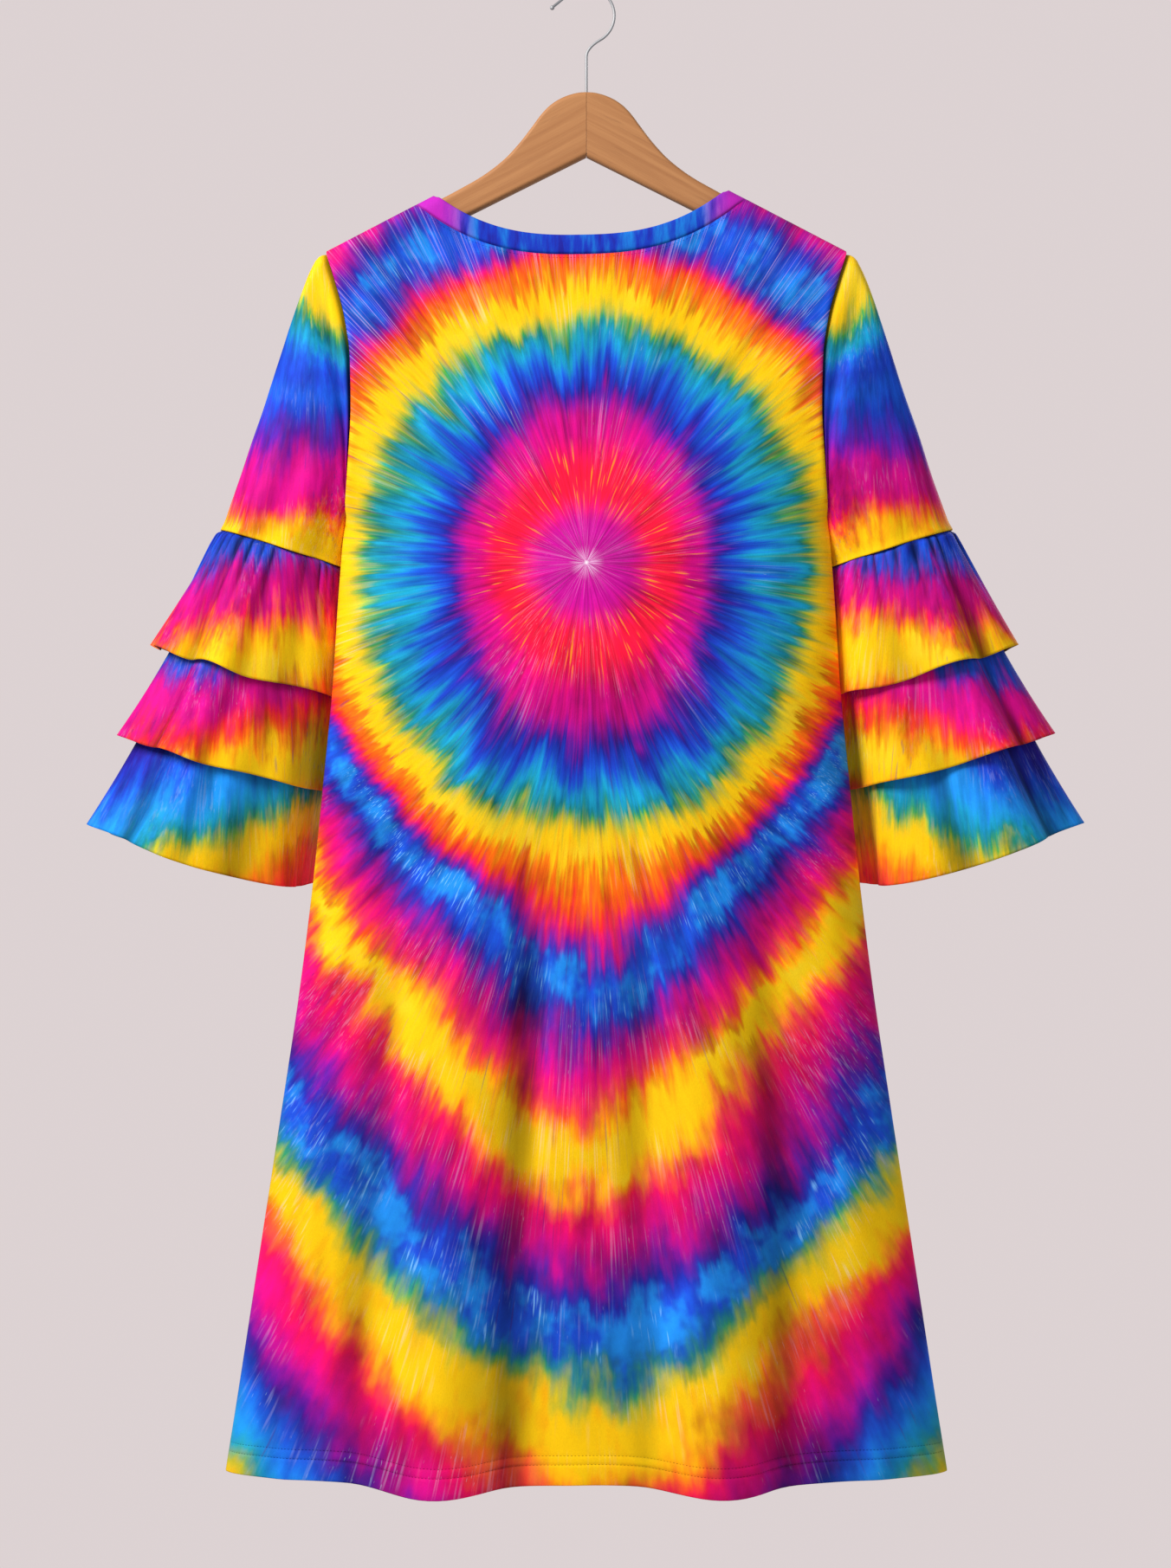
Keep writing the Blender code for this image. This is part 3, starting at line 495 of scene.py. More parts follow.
def armhole_ring(side, back, front):
    """One edge of the armhole, tip first, down the back panel and up the front one, X outward."""
    column = 0 if side < 0 else -1
    down = back[: UNDERARM_ROW + 1, column]
    up = front[: UNDERARM_ROW + 1, column]
    tip = (down[0] + up[0]) / 2
    underarm = (down[-1] + up[-1]) / 2
    ring = np.concatenate([[tip], down[1:-1], [underarm], up[1:-1][::-1]])
    return mirrored(ring, side)


def signed_power(values, power):
    return np.sign(values) * np.abs(values) ** power


def oval(outer, inner, half_depth, angles):
    """An oval round a sleeve seen from above, with its outward normals. Angle 0 is its outer end."""
    centre = (np.array(outer) + np.array(inner)) / 2
    major = (np.array(outer) - np.array(inner)) / 2
    reach = np.linalg.norm(major)
    lengthwise = major / reach
    crosswise = np.array((lengthwise[1], -lengthwise[0]))
    c = np.cos(angles)
    s = np.sin(angles)
    power = 2 / OVAL_POWER
    long_part = np.outer(reach * signed_power(c, power), lengthwise)
    cross_part = np.outer(half_depth * signed_power(s, power), crosswise)
    normals = np.outer(signed_power(c, 2 - power) / reach, lengthwise)
    normals += np.outer(signed_power(s, 2 - power) / half_depth, crosswise)
    return centre + long_part + cross_part, unit(normals)


def on_tilted_plane(place, origin_x, origin_z, flatter=0):
    z = origin_z + (math.tan(CUFF_TILT) - flatter) * (place[:, 0] - origin_x)
    return np.column_stack([place, z])


def sleeve_grid(side, back, front):
    """Outer points of a sleeve from the armhole to the seam at its end, X outward."""
    # The seam at the end has a point for each one of the armhole, at the same share of the way round.
    armhole = armhole_ring(side, back, front)
    steps = np.linalg.norm(np.roll(armhole, -1, axis=0) - armhole, axis=1)
    half = UNDERARM_ROW
    down = np.concatenate([[0], np.cumsum(steps[:half])])
    up = np.concatenate([[0], np.cumsum(steps[half:])])
    angles = np.concatenate([math.pi * down / down[-1], math.pi * (1 + up[1:-1] / up[-1])])
    place, _ = oval(CUFF_OUTER[:2], (CUFF_INNER_X, CUFF_INNER_Y), CUFF_HALF_DEPTH, angles)
    cuff = on_tilted_plane(place, CUFF_OUTER[0], CUFF_OUTER[2])
    # Rings from the one to the other, rounded out at the cap.
    start = armhole + np.array((VISIBLE_GAP, 0, 0))
    under = (1 - np.cos(angles)) / 2
    marks = [0, 0.4, 1, 1.8, 3, 5, 8, SLEEVE_LENGTH - 6, SLEEVE_LENGTH - 3,
             SLEEVE_LENGTH - 1.2, SLEEVE_LENGTH]
    shares = np.array(finer(marks, SLEEVE_STEP)) / SLEEVE_LENGTH
    points = np.zeros((len(shares), len(armhole), 3))
    for row, share in enumerate(shares):
        rounding = (1 - share) * (1 - math.exp(-share / CAP_BULGE_START))
        full = SLEEVE_FULLNESS * 4 * share * (1 - share)
        ring = start + (cuff - start) * share
        ring[:, 0] += rounding * (CAP_BULGE * (1 - under) + UNDERARM_BULGE * under)
        ring[:, 1] -= full * np.sin(angles)
        points[row] = ring
    around = np.roll(points, -1, axis=1) - np.roll(points, 1, axis=1)
    normals = unit(np.cross(np.gradient(points, axis=0), around))
    if normals[len(points) // 2, 0, 0] < 0:
        normals = -normals
    # Seams, and soft folds that fade toward the underarm.
    along = shares[:, None] * SLEEVE_LENGTH
    left = SLEEVE_LENGTH - along
    turn = np.degrees(angles)[None, :]
    facing = np.abs(np.sin(angles))[None, :]
    seam = ridges_at(along, CAP_RIDGES) + ridges_at(left, CUFF_RIDGES)
    relief = ridges_at(along, CAP_SWELL) * facing ** 0.7
    for fold in SLEEVE_FOLDS:
        fade = ease(shares[:, None], fold.start, fold.start + 0.4)
        drift = 6 * side * np.sin(3 * shares[:, None])
        relief = relief + fold.height * fade * bell(turn - fold.angle + drift, fold.width)
    relief = relief + 0.8 * unevenness(points, 46, 3 + side) * ease(along, 4, 30)
    relief = relief * (1 - 0.8 * under[None, :] ** 3)
    # Painted shade: the dye is darkened in seam grooves, in soft folds and on the sleeve beside the armhole.
    shade = 0.7 * DEEP_FOLD * bell(along, 9) * ease(under, 0.1, 0.5)[None, :]
    return points + (relief + seam)[..., None] * normals, seam - shade + BROAD_SHARE * relief


def ruffle_grid(ruffle, side):
    """Outer points of a ruffle from the seam to its hem, X outward, with its gathers and soft folds."""
    columns = RUFFLE_COLUMNS
    rows = finer(list(RUFFLE_TOP_ROWS) + [ruffle.length - 2, ruffle.length], RUFFLE_STEP)
    angles = 2 * math.pi * np.arange(columns) / columns
    # Round the ruffle: uneven gathers, soft folds between them and slow waves at the hem.
    toward_body = ((1 - np.cos(angles)) / 2) ** 2
    wander = 0.55 * np.sin(3 * angles + side) + 0.32 * np.sin(7 * angles + 1.7 * side)
    place_in_gather = GATHERS * angles / (2 * math.pi) + wander
    which = np.floor(place_in_gather)
    uneven = 0.72 + 0.28 * np.sin(2.4 * which + side) + 0.2 * np.sin(5.1 * which)
    crest = np.abs(np.sin(math.pi * place_in_gather))
    ridge = crest ** 0.6 - 0.66
    outer_edge = 1 - 0.75 * bell((angles + math.pi) % (2 * math.pi) - math.pi, 0.35)
    soft = np.sin(GATHERS / 2 * angles + 2.4 * np.sin(2 * angles + side) + ruffle.phase)
    soft = soft * (0.7 + 0.3 * np.sin(5 * angles + ruffle.phase))
    slow = np.sin(ruffle.waves * angles + 0.9 * np.sin(2 * angles + side) + 1.4 * ruffle.phase)
    # The oval's outer end, inner end and half depth, at the seam and at the hem.
    start_x = CUFF_OUTER[0] + SEAM_GAP * math.sin(CUFF_TILT)
    start_z = CUFF_OUTER[2] - SEAM_GAP * math.cos(CUFF_TILT)
    start = np.array((start_x, CUFF_OUTER[1], start_z, CUFF_INNER_X, CUFF_INNER_Y, CUFF_HALF_DEPTH))
    hem_x = ruffle.outer_x - (RIGHT_SHORTER if side > 0 else 0)
    hem_outer = (hem_x, RUFFLE_HEM_Y, ruffle.outer_z)
    hem = np.array((*hem_outer, ruffle.inner_x, ruffle.inner_y, ruffle.half_depth))
    bow = np.array((ruffle.bow, 0, 0, 0, 0, ruffle.depth_bow))
    # Down the ruffle: each row is a widening oval, pushed out or in by all of these.
    points = np.zeros((len(rows), columns, 3))
    relief = np.zeros((len(rows), columns))
    for row, along in enumerate(rows):
        share = along / ruffle.length
        swell = 4 * share * (1 - share)
        measures = start + (hem - start) * share - bow * swell
        outer_x, outer_y, outer_z, inner_x, inner_y, half_depth = measures
        place, normal = oval((outer_x, outer_y), (inner_x, inner_y), half_depth, angles)
        wave = ruffle.wave_depth * share ** WAVE_GROWTH_POWER * (1 - toward_body)
        wave = wave * np.sin(ruffle.waves * angles + ruffle.phase + WAVE_SIDE_SHIFT * side)
        gather = smooth_table(GATHER_HEIGHT, along) * uneven * ridge
        folds = smooth_table(SOFT_FOLD_HEIGHT, along) * soft
        near_body = 1 - 0.85 * toward_body
        tuck = -SEAM_TUCK * bell(along, 2)
        pressed = (gather + (folds + SLOW_FOLD * share * slow) * outer_edge) * near_body + tuck
        if ruffle.name == "bottom":
            pressed = pressed - INNER_STEP_DEPTH * ease(INNER_STEP_X - place[:, 0], -1.2, 1.2) * share
        offset = ruffle.layer + wave + pressed
        place = place + offset[:, None] * normal
        ring = on_tilted_plane(place, outer_x, outer_z - 1.5 * share, HEM_FLATTER * share)
        ring[:, 2] -= ruffle.sag * share ** 2 * np.sin(angles) ** 2
        ring[:, 2] += HEM_RISE * (1.4 - along / 200) * share ** 2 * slow * near_body * outer_edge
        points[row] = ring
        # Painted shade: the dye is darkened in the pinches between gathers, at the tuck under the seam and
        # in soft folds.
        pinch_shade = smooth_table(GATHER_PAINTED_SHADE, along) * uneven * (1 - crest) * near_body
        relief[row] = 0.4 * tuck - GATHER_SHADE * DEEP_FOLD * pinch_shade + BROAD_SHARE * (folds + wave)
    return points, relief


def band_direction(edge):
    run = np.gradient(edge[:, (0, 2)], axis=0)
    square = unit(np.column_stack([-run[:, 1], np.zeros(len(edge)), run[:, 0]]))
    share = neck_share(edge[:, 0])
    fold = ease(np.abs(share), BAND_FOLD_FROM, 1)[:, None]
    shoulder = np.column_stack(
        [-np.sign(share) * SHOULDER_COS, np.zeros(len(edge)), np.full(len(edge), SHOULDER_SIN)]
    )
    return unit(square * (1 - fold) + shoulder * fold)


def neckband_grid(back, front):
    """Outer points of the neckband from its seam to its folded edge, all round the neck."""
    over_neck = np.abs(neck_share(SHARES * TIP_X)) < 1 + 1e-6
    rows = []
    for height, lift in BAND_ROLL:
        halves = []
        for form, panel in ((BACK, back), (FRONT, front)):
            edge = panel[0, over_neck]
            half = edge + (SEAM_GAP + BAND_WIDTH * height) * band_direction(edge)
            depth = panel_depth(half[:, 0], half[:, 2], form) - VISIBLE_GAP / 2
            corner = ease(1 - np.abs(neck_share(edge[:, 0])), 0, 0.04)
            half[:, 1] = form.facing * (depth + lift * corner)
            halves.append(half)
        rows.append(np.concatenate([halves[0], halves[1][1:-1][::-1]]))
    # Painted shade: a dark line along the band's seam.
    seam = -0.55 * DEEP_FOLD * bell(np.array(BAND_ROLL)[:, 0] - 0.02, 0.07)
    return np.array(rows), np.repeat(seam[:, None], len(rows[0]), axis=1)


def laid_grid(points, relief, closed):
    """A plain grid laid row by row on its points, which stores how deep each one is pressed in as painted
    shade.
    """
    if closed:
        points = np.concatenate([points, points[:, :1]], axis=1)
        relief = np.concatenate([relief, relief[:, :1]], axis=1)
    # Painted shade: the deeper a point is pressed in, the darker its jersey is painted.
    painted_shades = np.clip(-relief / DEEP_FOLD, 0, 1)
    rows, columns = points.shape[:2]
    mesh = bmesh.new()
    bmesh.ops.create_grid(mesh, x_segments=columns - 1, y_segments=rows - 1, size=0.5)
    painted_shade = mesh.verts.layers.float.new("painted_shade")
    for vert in mesh.verts:
        at_column = round((vert.co.x + 0.5) * (columns - 1))
        at_row = round((vert.co.y + 0.5) * (rows - 1))
        vert.co = Vector(points[at_row, at_column]) * MM
        vert[painted_shade] = painted_shades[at_row, at_column]
    if closed:
        bmesh.ops.remove_doubles(mesh, verts=mesh.verts, dist=MERGE_WITHIN)
    return mesh


def cloth_piece(name, points, relief, outward, closed, wall, material, nodes):
    """A thin shell under a grid of outer points."""
    # The relief given here is stored on the mesh as painted shade for its jersey.
    mesh = laid_grid(points, relief, closed)
    row = len(points) // 2
    column = 0 if closed else points.shape[1] // 2
    across = points[row, column + 1] - points[row, column]
    upward = points[row + 1, column] - points[row, column]
    if np.dot(np.cross(across, upward), outward) < 0:
        bmesh.ops.reverse_faces(mesh, faces=mesh.faces)
    thing = finish_piece(name, mesh, material)
    shell = thing.modifiers.new("Cloth wall", "SOLIDIFY")
    shell.thickness = wall * MM
    shell.offset = -1
    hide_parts(*nodes)
    return thing


def linked(name, data):
    """A new object with this data, in the scene."""
    thing = bpy.data.objects.new(name, data)
    bpy.context.scene.collection.objects.link(thing)
    return thing


def finish_piece(name, mesh, material):
    data = bpy.data.meshes.new(name)
    mesh.to_mesh(data)
    mesh.free()
    data.shade_smooth()
    data.materials.append(material)
    thing = linked(name, data)
    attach(thing, "root")
    return thing


class Value:
    """A number worked out at each place of a material, which sums and products can take."""

    def __init__(self, recipe, socket):
        self.recipe = recipe
        self.socket = socket

    def __add__(self, other):
        return self.recipe.math("ADD", self, other)

    def __sub__(self, other):
        return self.recipe.math("SUBTRACT", self, other)

    def __rsub__(self, other):
        return self.recipe.math("SUBTRACT", other, self)

    def __mul__(self, other):
        return self.recipe.math("MULTIPLY", self, other)

    def __truediv__(self, other):
        return self.recipe.math("DIVIDE", self, other)

    def __pow__(self, other):
        return self.recipe.math("POWER", self, other)

    def smooth(self, low, high, start=0, end=1):
        """Start below the low mark, end above the high one, and a soft step between."""
        node = self.recipe.node("MapRange")
        node.interpolation_type = "SMOOTHSTEP"
        return self.recipe.fed(node, self, low, high, start, end)

    def within(self, rise_from, rise_to, fall_from, fall_to):
        """1 between two soft steps and 0 outside them."""
        return self.smooth(rise_from, rise_to) * self.smooth(fall_from, fall_to, 1, 0)


class Recipe:
    """A material's nodes, written as formulas."""

    def __init__(self, name):
        self.material = bpy.data.materials.new(name)
        self.material.use_nodes = True
        self.tree = self.material.node_tree
        self.place = Value(self, self.node("TexCoord").outputs["Object"])

    def node(self, kind):
        return self.tree.nodes.new("ShaderNode" + kind)

    def plug(self, socket, value):
        if isinstance(value, Value):
            self.tree.links.new(value.socket, socket)
        else:
            socket.default_value = value

    def fed(self, node, *values, out=0):
        """One of the node's outputs, once its first inputs are filled."""
        for socket, value in zip(node.inputs, values):
            self.plug(socket, value)
        return Value(self, node.outputs[out])

    def filled(self, node, **inputs):
        """The node's first output, once the inputs named here, with _ for each space, are filled."""
        for name, value in inputs.items():
            self.plug(node.inputs[name.replace("_", " ")], value)
        return Value(self, node.outputs[0])

    def finish(self, **inputs):
        self.filled(self.tree.nodes["Principled BSDF"], **inputs)
        return self.material

    def math(self, operation, *values):
        node = self.node("Math")
        node.operation = operation
        return self.fed(node, *values)

    def length(self, across, down, least=0):
        return self.math("SQRT", across * across + down * down + least)

    def split(self, vector):
        node = self.node("SeparateXYZ")
        self.fed(node, vector)
        return [Value(self, socket) for socket in node.outputs]

    def join(self, x, y, z):
        return self.fed(self.node("CombineXYZ"), x, y, z)

    def turned(self, vector, scale, angle=0):
        return self.filled(self.node("Mapping"), Vector=vector, Scale=scale, Rotation=(0, angle, 0))

    def noise(self, vector, scale=1, detail=2, roughness=0.5):
        node = self.node("TexNoise")
        return self.filled(node, Vector=vector, Scale=scale, Detail=detail, Roughness=roughness)

    def clouds(self, scale, low, high, detail=2, roughness=0.6):
        """Soft patches, 1 inside and 0 between."""
        return self.noise(self.place, scale, detail, roughness).smooth(low, high)

    def sway(self, scale, reach, detail=2, roughness=0.5):
        """A soft, uneven shift either way."""
        return (self.noise(self.place, scale, detail, roughness) - 0.5) * reach

    def bands(self, at, table):
        """A colour ramp from a table of distances and dyes."""
        first = table[0][0]
        reach = table[-1][0] - first
        node = self.node("ValToRGB")
        ramp = node.color_ramp
        while len(ramp.elements) < len(table):
            ramp.elements.new(1)
        for stop, (distance, dye) in zip(ramp.elements, table):
            stop.position = (distance - first) / reach
        for stop, (distance, dye) in zip(ramp.elements, table):
            stop.color = (*DYE[dye], 1)
        return self.fed(node, (at - first) / reach)

    def mix(self, factor, first, second, blend="MIX"):
        node = self.node("Mix")
        node.data_type = "RGBA"
        node.blend_type = blend
        node.clamp_factor = True
        self.plug(node.inputs[0], factor)
        for index, value in ((6, first), (7, second)):
            self.plug(node.inputs[index], (*value, 1) if isinstance(value, tuple) else value)
        return Value(self, node.outputs[2])

    def blend(self, share, first, second):
        """The first number where the share is 0, the second where it is 1."""
        return first * (1 - share) + second * share

    def toned(self, colour, tone):
        return self.mix(1, colour, self.join(tone, tone, tone), "MULTIPLY")

    def bump(self, height, strength, distance):
        return self.filled(self.node("Bump"), Strength=strength, Distance=distance, Height=height)


def finish_jersey(recipe, colour, darker=1):
    """Smooth dyed jersey: fine knit, a soft sheen, and painted shade where folds and seams sink in."""
    knit = recipe.noise(recipe.turned(recipe.place, KNIT_SCALE), 1, 1, 0.4)
    # Painted shade: the amount stored on each point of the cloth darkens the dye, most in folds, gathers and
    # seams.
    painted_shade = recipe.node("Attribute")
    painted_shade.attribute_name = "painted_shade"
    pinch_shade = Value(recipe, painted_shade.outputs["Fac"]).smooth(0, 1, 1, FOLD_SHADE)
    colour = recipe.toned(colour, ((knit - 0.5) * KNIT_CONTRAST + darker) * pinch_shade)
    return recipe.finish(
        Base_Color=colour,
        Normal=recipe.bump(knit, 0.2, 0.0004),
        Roughness=0.6,
        Specular_IOR_Level=0.06,
        Sheen_Weight=0.01,
        Sheen_Roughness=0.4,
    )


class Rays:
    """Noise drawn out along the lines on which the cloth was bunched."""

    def __init__(self, recipe, across, side, out):
        self.recipe = recipe
        self.across = across
        self.side = side
        self.out = out

    def noise(self, count, length, seed, detail=1, roughness=0.5):
        place = self.recipe.join(self.across * count, self.side * count, self.out * (1 / length) + seed)
        return self.recipe.noise(place, 1, detail, roughness)

    def swing(self, count, length, seed, reach, detail=1, roughness=0.5):
        """The same noise as a shift either way, in millimetres."""
        return (self.noise(count, length, seed, detail, roughness) - 0.5) * reach


def dipped(recipe, rays, distance, dye_at, apart):
    """Three dips of dye a little apart, so that the bands run into each other softly."""
    colour = dye_at(distance)
    for seed, share, shift in ((15, 0.42, apart), (18, 0.32, apart * -1)):
        shifted = distance + rays.swing(60, 80, seed, 42, 2, 0.62) + shift
        colour = recipe.mix(share, colour, dye_at(shifted))
    return colour


def streaked(recipe, rays, colour, fine, strength, far=0):
    """Lighter and darker rays, thin pale and dark lines in clusters, and small pale flecks."""

    def lines(count, length, seed, low, high):
        near = rays.noise(fine * count, length, seed)
        beyond = rays.noise(fine * count * 4, length, seed)
        return recipe.blend(far, near, beyond).smooth(low, high)

    green = recipe.fed(recipe.node("SeparateColor"), colour, out=1)
    hold = green.smooth(0.34, 0.58, 1, 0.16)
    tone = (rays.noise(26, 80, 3, 3, 0.6) - 0.5) * 1.9 + recipe.sway(17, 1.2, 3, 0.6)
    colour = recipe.toned(colour, recipe.math("MAXIMUM", tone * hold + 1.06, 0.5))
    # In the yellow, where the tone has less hold, orange feathers and lemon clouds.
    in_yellow = 1 - hold
    warm = rays.noise(fine * 0.45, 60, 17, 2, 0.65).smooth(0.50, 0.70) * in_yellow
    warm = warm * recipe.clouds(13, 0.4, 0.6, 2, 0.5)
    colour = recipe.mix(warm * 0.5, colour, (0.92, 0.27, 0.004))
    colour = recipe.mix(recipe.clouds(19, 0.50, 0.70) * in_yellow * 0.4, colour, (0.88, 0.74, 0.04))
    gate = recipe.clouds(16, 0.47, 0.66)
    pale = lines(1, 70, 11, 0.53, 0.72) * gate
    colour = recipe.mix(pale * (strength * 1.4), colour, (0.30, 0.30, 0.45), "SCREEN")
    dark = lines(0.8, 85, 23, 0.62, 0.76) * recipe.clouds(9, 0.42, 0.60)
    colour = recipe.mix(dark * 0.42, colour, (0.06, 0.012, 0.17))
    fleck = lines(1.7, 8, 31, 0.71, 0.79) * gate * hold
    return recipe.mix(fleck * strength, colour, (0.62, 0.86, 0.98))


def bullseye_jersey(name, darker=1):
    """The body's dye: rings round a burst, drawn out into chevrons down the skirt."""
    recipe = Recipe(name)
    x, _, z = recipe.split(recipe.place)
    across = x * 1000
    down = z * -1000 - BULLSEYE_DROP
    out = recipe.length(across, down, 0.01)
    spread = (out / 250) ** down.smooth(30, 170, 0, -0.35)
    rays = Rays(recipe, across / out * spread, down / out, out)
    # Rings: a little narrower than high, and crowded together near the shoulders.
    squeeze = out.smooth(45, 100, 1.02, 1.38) + out.smooth(106, 175, 0, -0.22)
    ring = recipe.length(across * squeeze, down * down.smooth(-8, 8, 1.06, 1))
    beyond = recipe.math("MAXIMUM", ring - 270, 0) * 0.25
    crowding = ring.smooth(243, 272, 0, 22) + beyond
    ring = ring + crowding * down.smooth(-60, 40, 1, 0)
    # Chevrons: a rounded point with sides that fall away ever more steeply.
    blunt = recipe.length(across, CHEVRON_POINT) - CHEVRON_POINT
    bowed = down + across * across * 0.00125
    steepness = (bowed + blunt * 0.7).smooth(470, 640, 0.80, 0.55)
    chevron = bowed + blunt * steepness
    share = ring.smooth(215, 278) * down.smooth(10, 110)
    distance = recipe.blend(share, ring, chevron)
    # Edges: lobes, teeth and hair along the rays, and blots, all slighter toward the middle.
    far = out.smooth(180, 350)
    jag = (
        rays.swing(4, 160, 5, 34)
        + rays.swing(13, 95, 7, 27)
        + rays.swing(36, 60, 9, 17)
        + rays.swing(105, 45, 13, 11)
        + rays.swing(46, 80, 73, 62, 3, 0.66) * far
    )
    blots = recipe.sway(13, 74, 2, 0.55) + recipe.sway(42, 26, 2, 0.6)
    blots = blots * (far * 0.55 + out.smooth(60, 200, 0.03, 0.15))
    distance = distance + (jag * out.smooth(10, 175, 0.22, 1) + blots)
    # Long teeth in the blue ring, and orange feathers that reach into the yellow one.
    in_blue = distance.within(136, 152, 186, 204)
    distance = distance + rays.swing(14, 120, 61, 58) * in_blue
    in_yellow = distance.within(214, 232, 256, 290)
    distance = distance + rays.swing(58, 55, 81, 64, 2, 0.7) * in_yellow
    # The yellow chevrons break into lobes, with orange and red between.
    gap = rays.noise(10, 170, 95, 2).smooth(0.49, 0.62)
    in_chevron = distance.within(430, 452, 480, 520) + distance.within(652, 690, 704, 740)
    distance = distance + gap * in_chevron * 18

    def rings_and_chevrons(at):
        inner = recipe.bands(at, INNER_BANDS)
        outer = recipe.bands(at, OUTER_BANDS)
        return recipe.mix(recipe.math("GREATER_THAN", at, BAND_SWITCH), inner, outer)

    colour = dipped(recipe, rays, distance, rings_and_chevrons, far * 4.5 + DIP_APART)
    # Sky blue patches and glints in the blue bands of the skirt and shoulders.
    patch = rays.noise(14, 70, 91, 3, 0.6) * 0.5 + recipe.noise(recipe.place, 26, 3, 0.6) * 0.5
    in_band = distance.within(300, 316, 336, 354) + distance.within(580, 600, 622, 640)
    colour = recipe.mix(patch.smooth(0.46, 0.58) * in_band * 0.85, colour, DYE["sky"])
    glint = rays.noise(330, 24, 37).smooth(0.56, 0.74) * recipe.clouds(24, 0.46, 0.62)
    colour = recipe.mix(glint * in_band * 0.6, colour, (0.26, 0.60, 0.98))
    colour = streaked(recipe, rays, colour, 110, 0.25, far)
    # Long pale rays across the shoulders.
    long_rays = rays.noise(250, 150, 99, 2, 0.7).smooth(0.54, 0.70)
    at_shoulders = ring.smooth(222, 285) * down.smooth(-60, -130, 0, 0.6)
    colour = recipe.mix(long_rays * at_shoulders, colour, (0.42, 0.26, 0.50), "SCREEN")
    # Gold dashes in the red ring.
    dashes = rays.noise(46, 30, 41).smooth(0.62, 0.72) * out.within(34, 52, 76, 100)
    colour = recipe.mix(dashes * 0.8, colour, (0.95, 0.30, 0.01))
    # White burst at the very middle.
    burst = rays.noise(40, 90, 51, 2, 0.7).smooth(0.58, 0.74) * out.smooth(1, 34, 0.9, 0)
    star = rays.noise(20, 60, 53).smooth(0.46, 0.60) * out.smooth(2, 15, 1, 0)
    colour = recipe.mix(recipe.math("MAXIMUM", burst, star), colour, (0.95, 0.60, 0.88))
    colour = recipe.mix(out.smooth(0, 2.5, 1, 0), colour, (0.98, 0.86, 0.95))
    return finish_jersey(recipe, colour, darker)


def banded_jersey(name, table, slant):
    """The dye of a sleeve or ruffle: bands across it with teeth that fan out down it."""
    recipe = Recipe(name)
    x, y, z = recipe.split(recipe.place)
    outward = recipe.math("ABSOLUTE", x) * 1000
    drop = z * -1000
    across = outward - slant.fan_x
    down = drop - slant.fan_drop
    out = recipe.length(across, down, 0.01)
    rays = Rays(recipe, across / out, y * 5, out)
    distance = (
        drop
        + (slant.from_x - outward) * drop.smooth(250, 345, slant.top_tilt, slant.tilt)
        + rays.swing(6, 200, 5, 26)
        + rays.swing(18, 90, 7, 30)
        + rays.swing(50, 60, 9, 30, 3, 0.7)
        + recipe.sway(15, 40, 2, 0.55)
        + recipe.sway(44, 14, 2, 0.6)
    )
    colour = dipped(recipe, rays, distance, lambda at: recipe.bands(at, table), DIP_APART)
    colour = streaked(recipe, rays, colour, 170, 0.17)
    return finish_jersey(recipe, colour)


def neckband_jersey():
    """Blue with pale upright streaks, orchid where the band meets the shoulders."""
    recipe = Recipe("Neckband jersey")
    x, y, z = recipe.split(recipe.place)
    streak = recipe.noise(recipe.join(x * 120, y * 30, z * 22), 1, 3, 0.6)
    blue = recipe.mix(streak.smooth(0.42, 0.70, 0, 0.8), DYE["royal"], DYE["sky"])
    blue = recipe.mix(streak.smooth(0.3, 0.44, 0.7, 0), blue, DYE["indigo"])
    across = recipe.math("ABSOLUTE", x * 1000) + (streak - 0.5) * 30
    colour = recipe.mix(across.smooth(88, 116), blue, DYE["orchid"])
    return finish_jersey(recipe, colour)


def wood_material(name, side):
    """Light brown wood with its grain along the arm."""
    recipe = Recipe(name)
    along = recipe.turned(recipe.place, (1, 1, 1), -side * math.atan(SHOULDER_FALL))
    warp = recipe.noise(recipe.turned(along, (4, 12, 9)), 1, 1, 0.5)
    x, y, z = recipe.split(recipe.turned(along, (6, 140, 210)))
    rings = recipe.noise(recipe.join(x, y, z + warp * 3), 1, 4, 0.62)
    fibre = recipe.noise(recipe.turned(along, (40, 900, 1000)), 1, 2, 0.6)
    colour = recipe.mix(rings.smooth(0.3, 0.72), (0.40, 0.165, 0.058), (0.50, 0.225, 0.085))
    return recipe.finish(
        Base_Color=recipe.mix(fibre.smooth(0.55, 0.8, 0, 0.35), colour, (0.24, 0.10, 0.04)),
        Normal=recipe.bump(fibre * 0.5 + rings, 0.12, 0.0004),
        Roughness=rings.smooth(0.3, 0.7, 0.58, 0.48),
        Specular_IOR_Level=0.3,
    )


def steel_material():
    recipe = Recipe("Bright steel wire")
    brushed = recipe.noise(recipe.turned(recipe.place, (90, 90, 20)), 1, 2, 0.5)
    return recipe.finish(
        Base_Color=recipe.mix(brushed, (0.42, 0.42, 0.43), (0.50, 0.50, 0.51)),
        Metallic=1,
        Roughness=brushed.smooth(0.3, 0.7, 0.64, 0.72),
    )


def direction(angle):
    return np.array((math.cos(angle), math.sin(angle)))


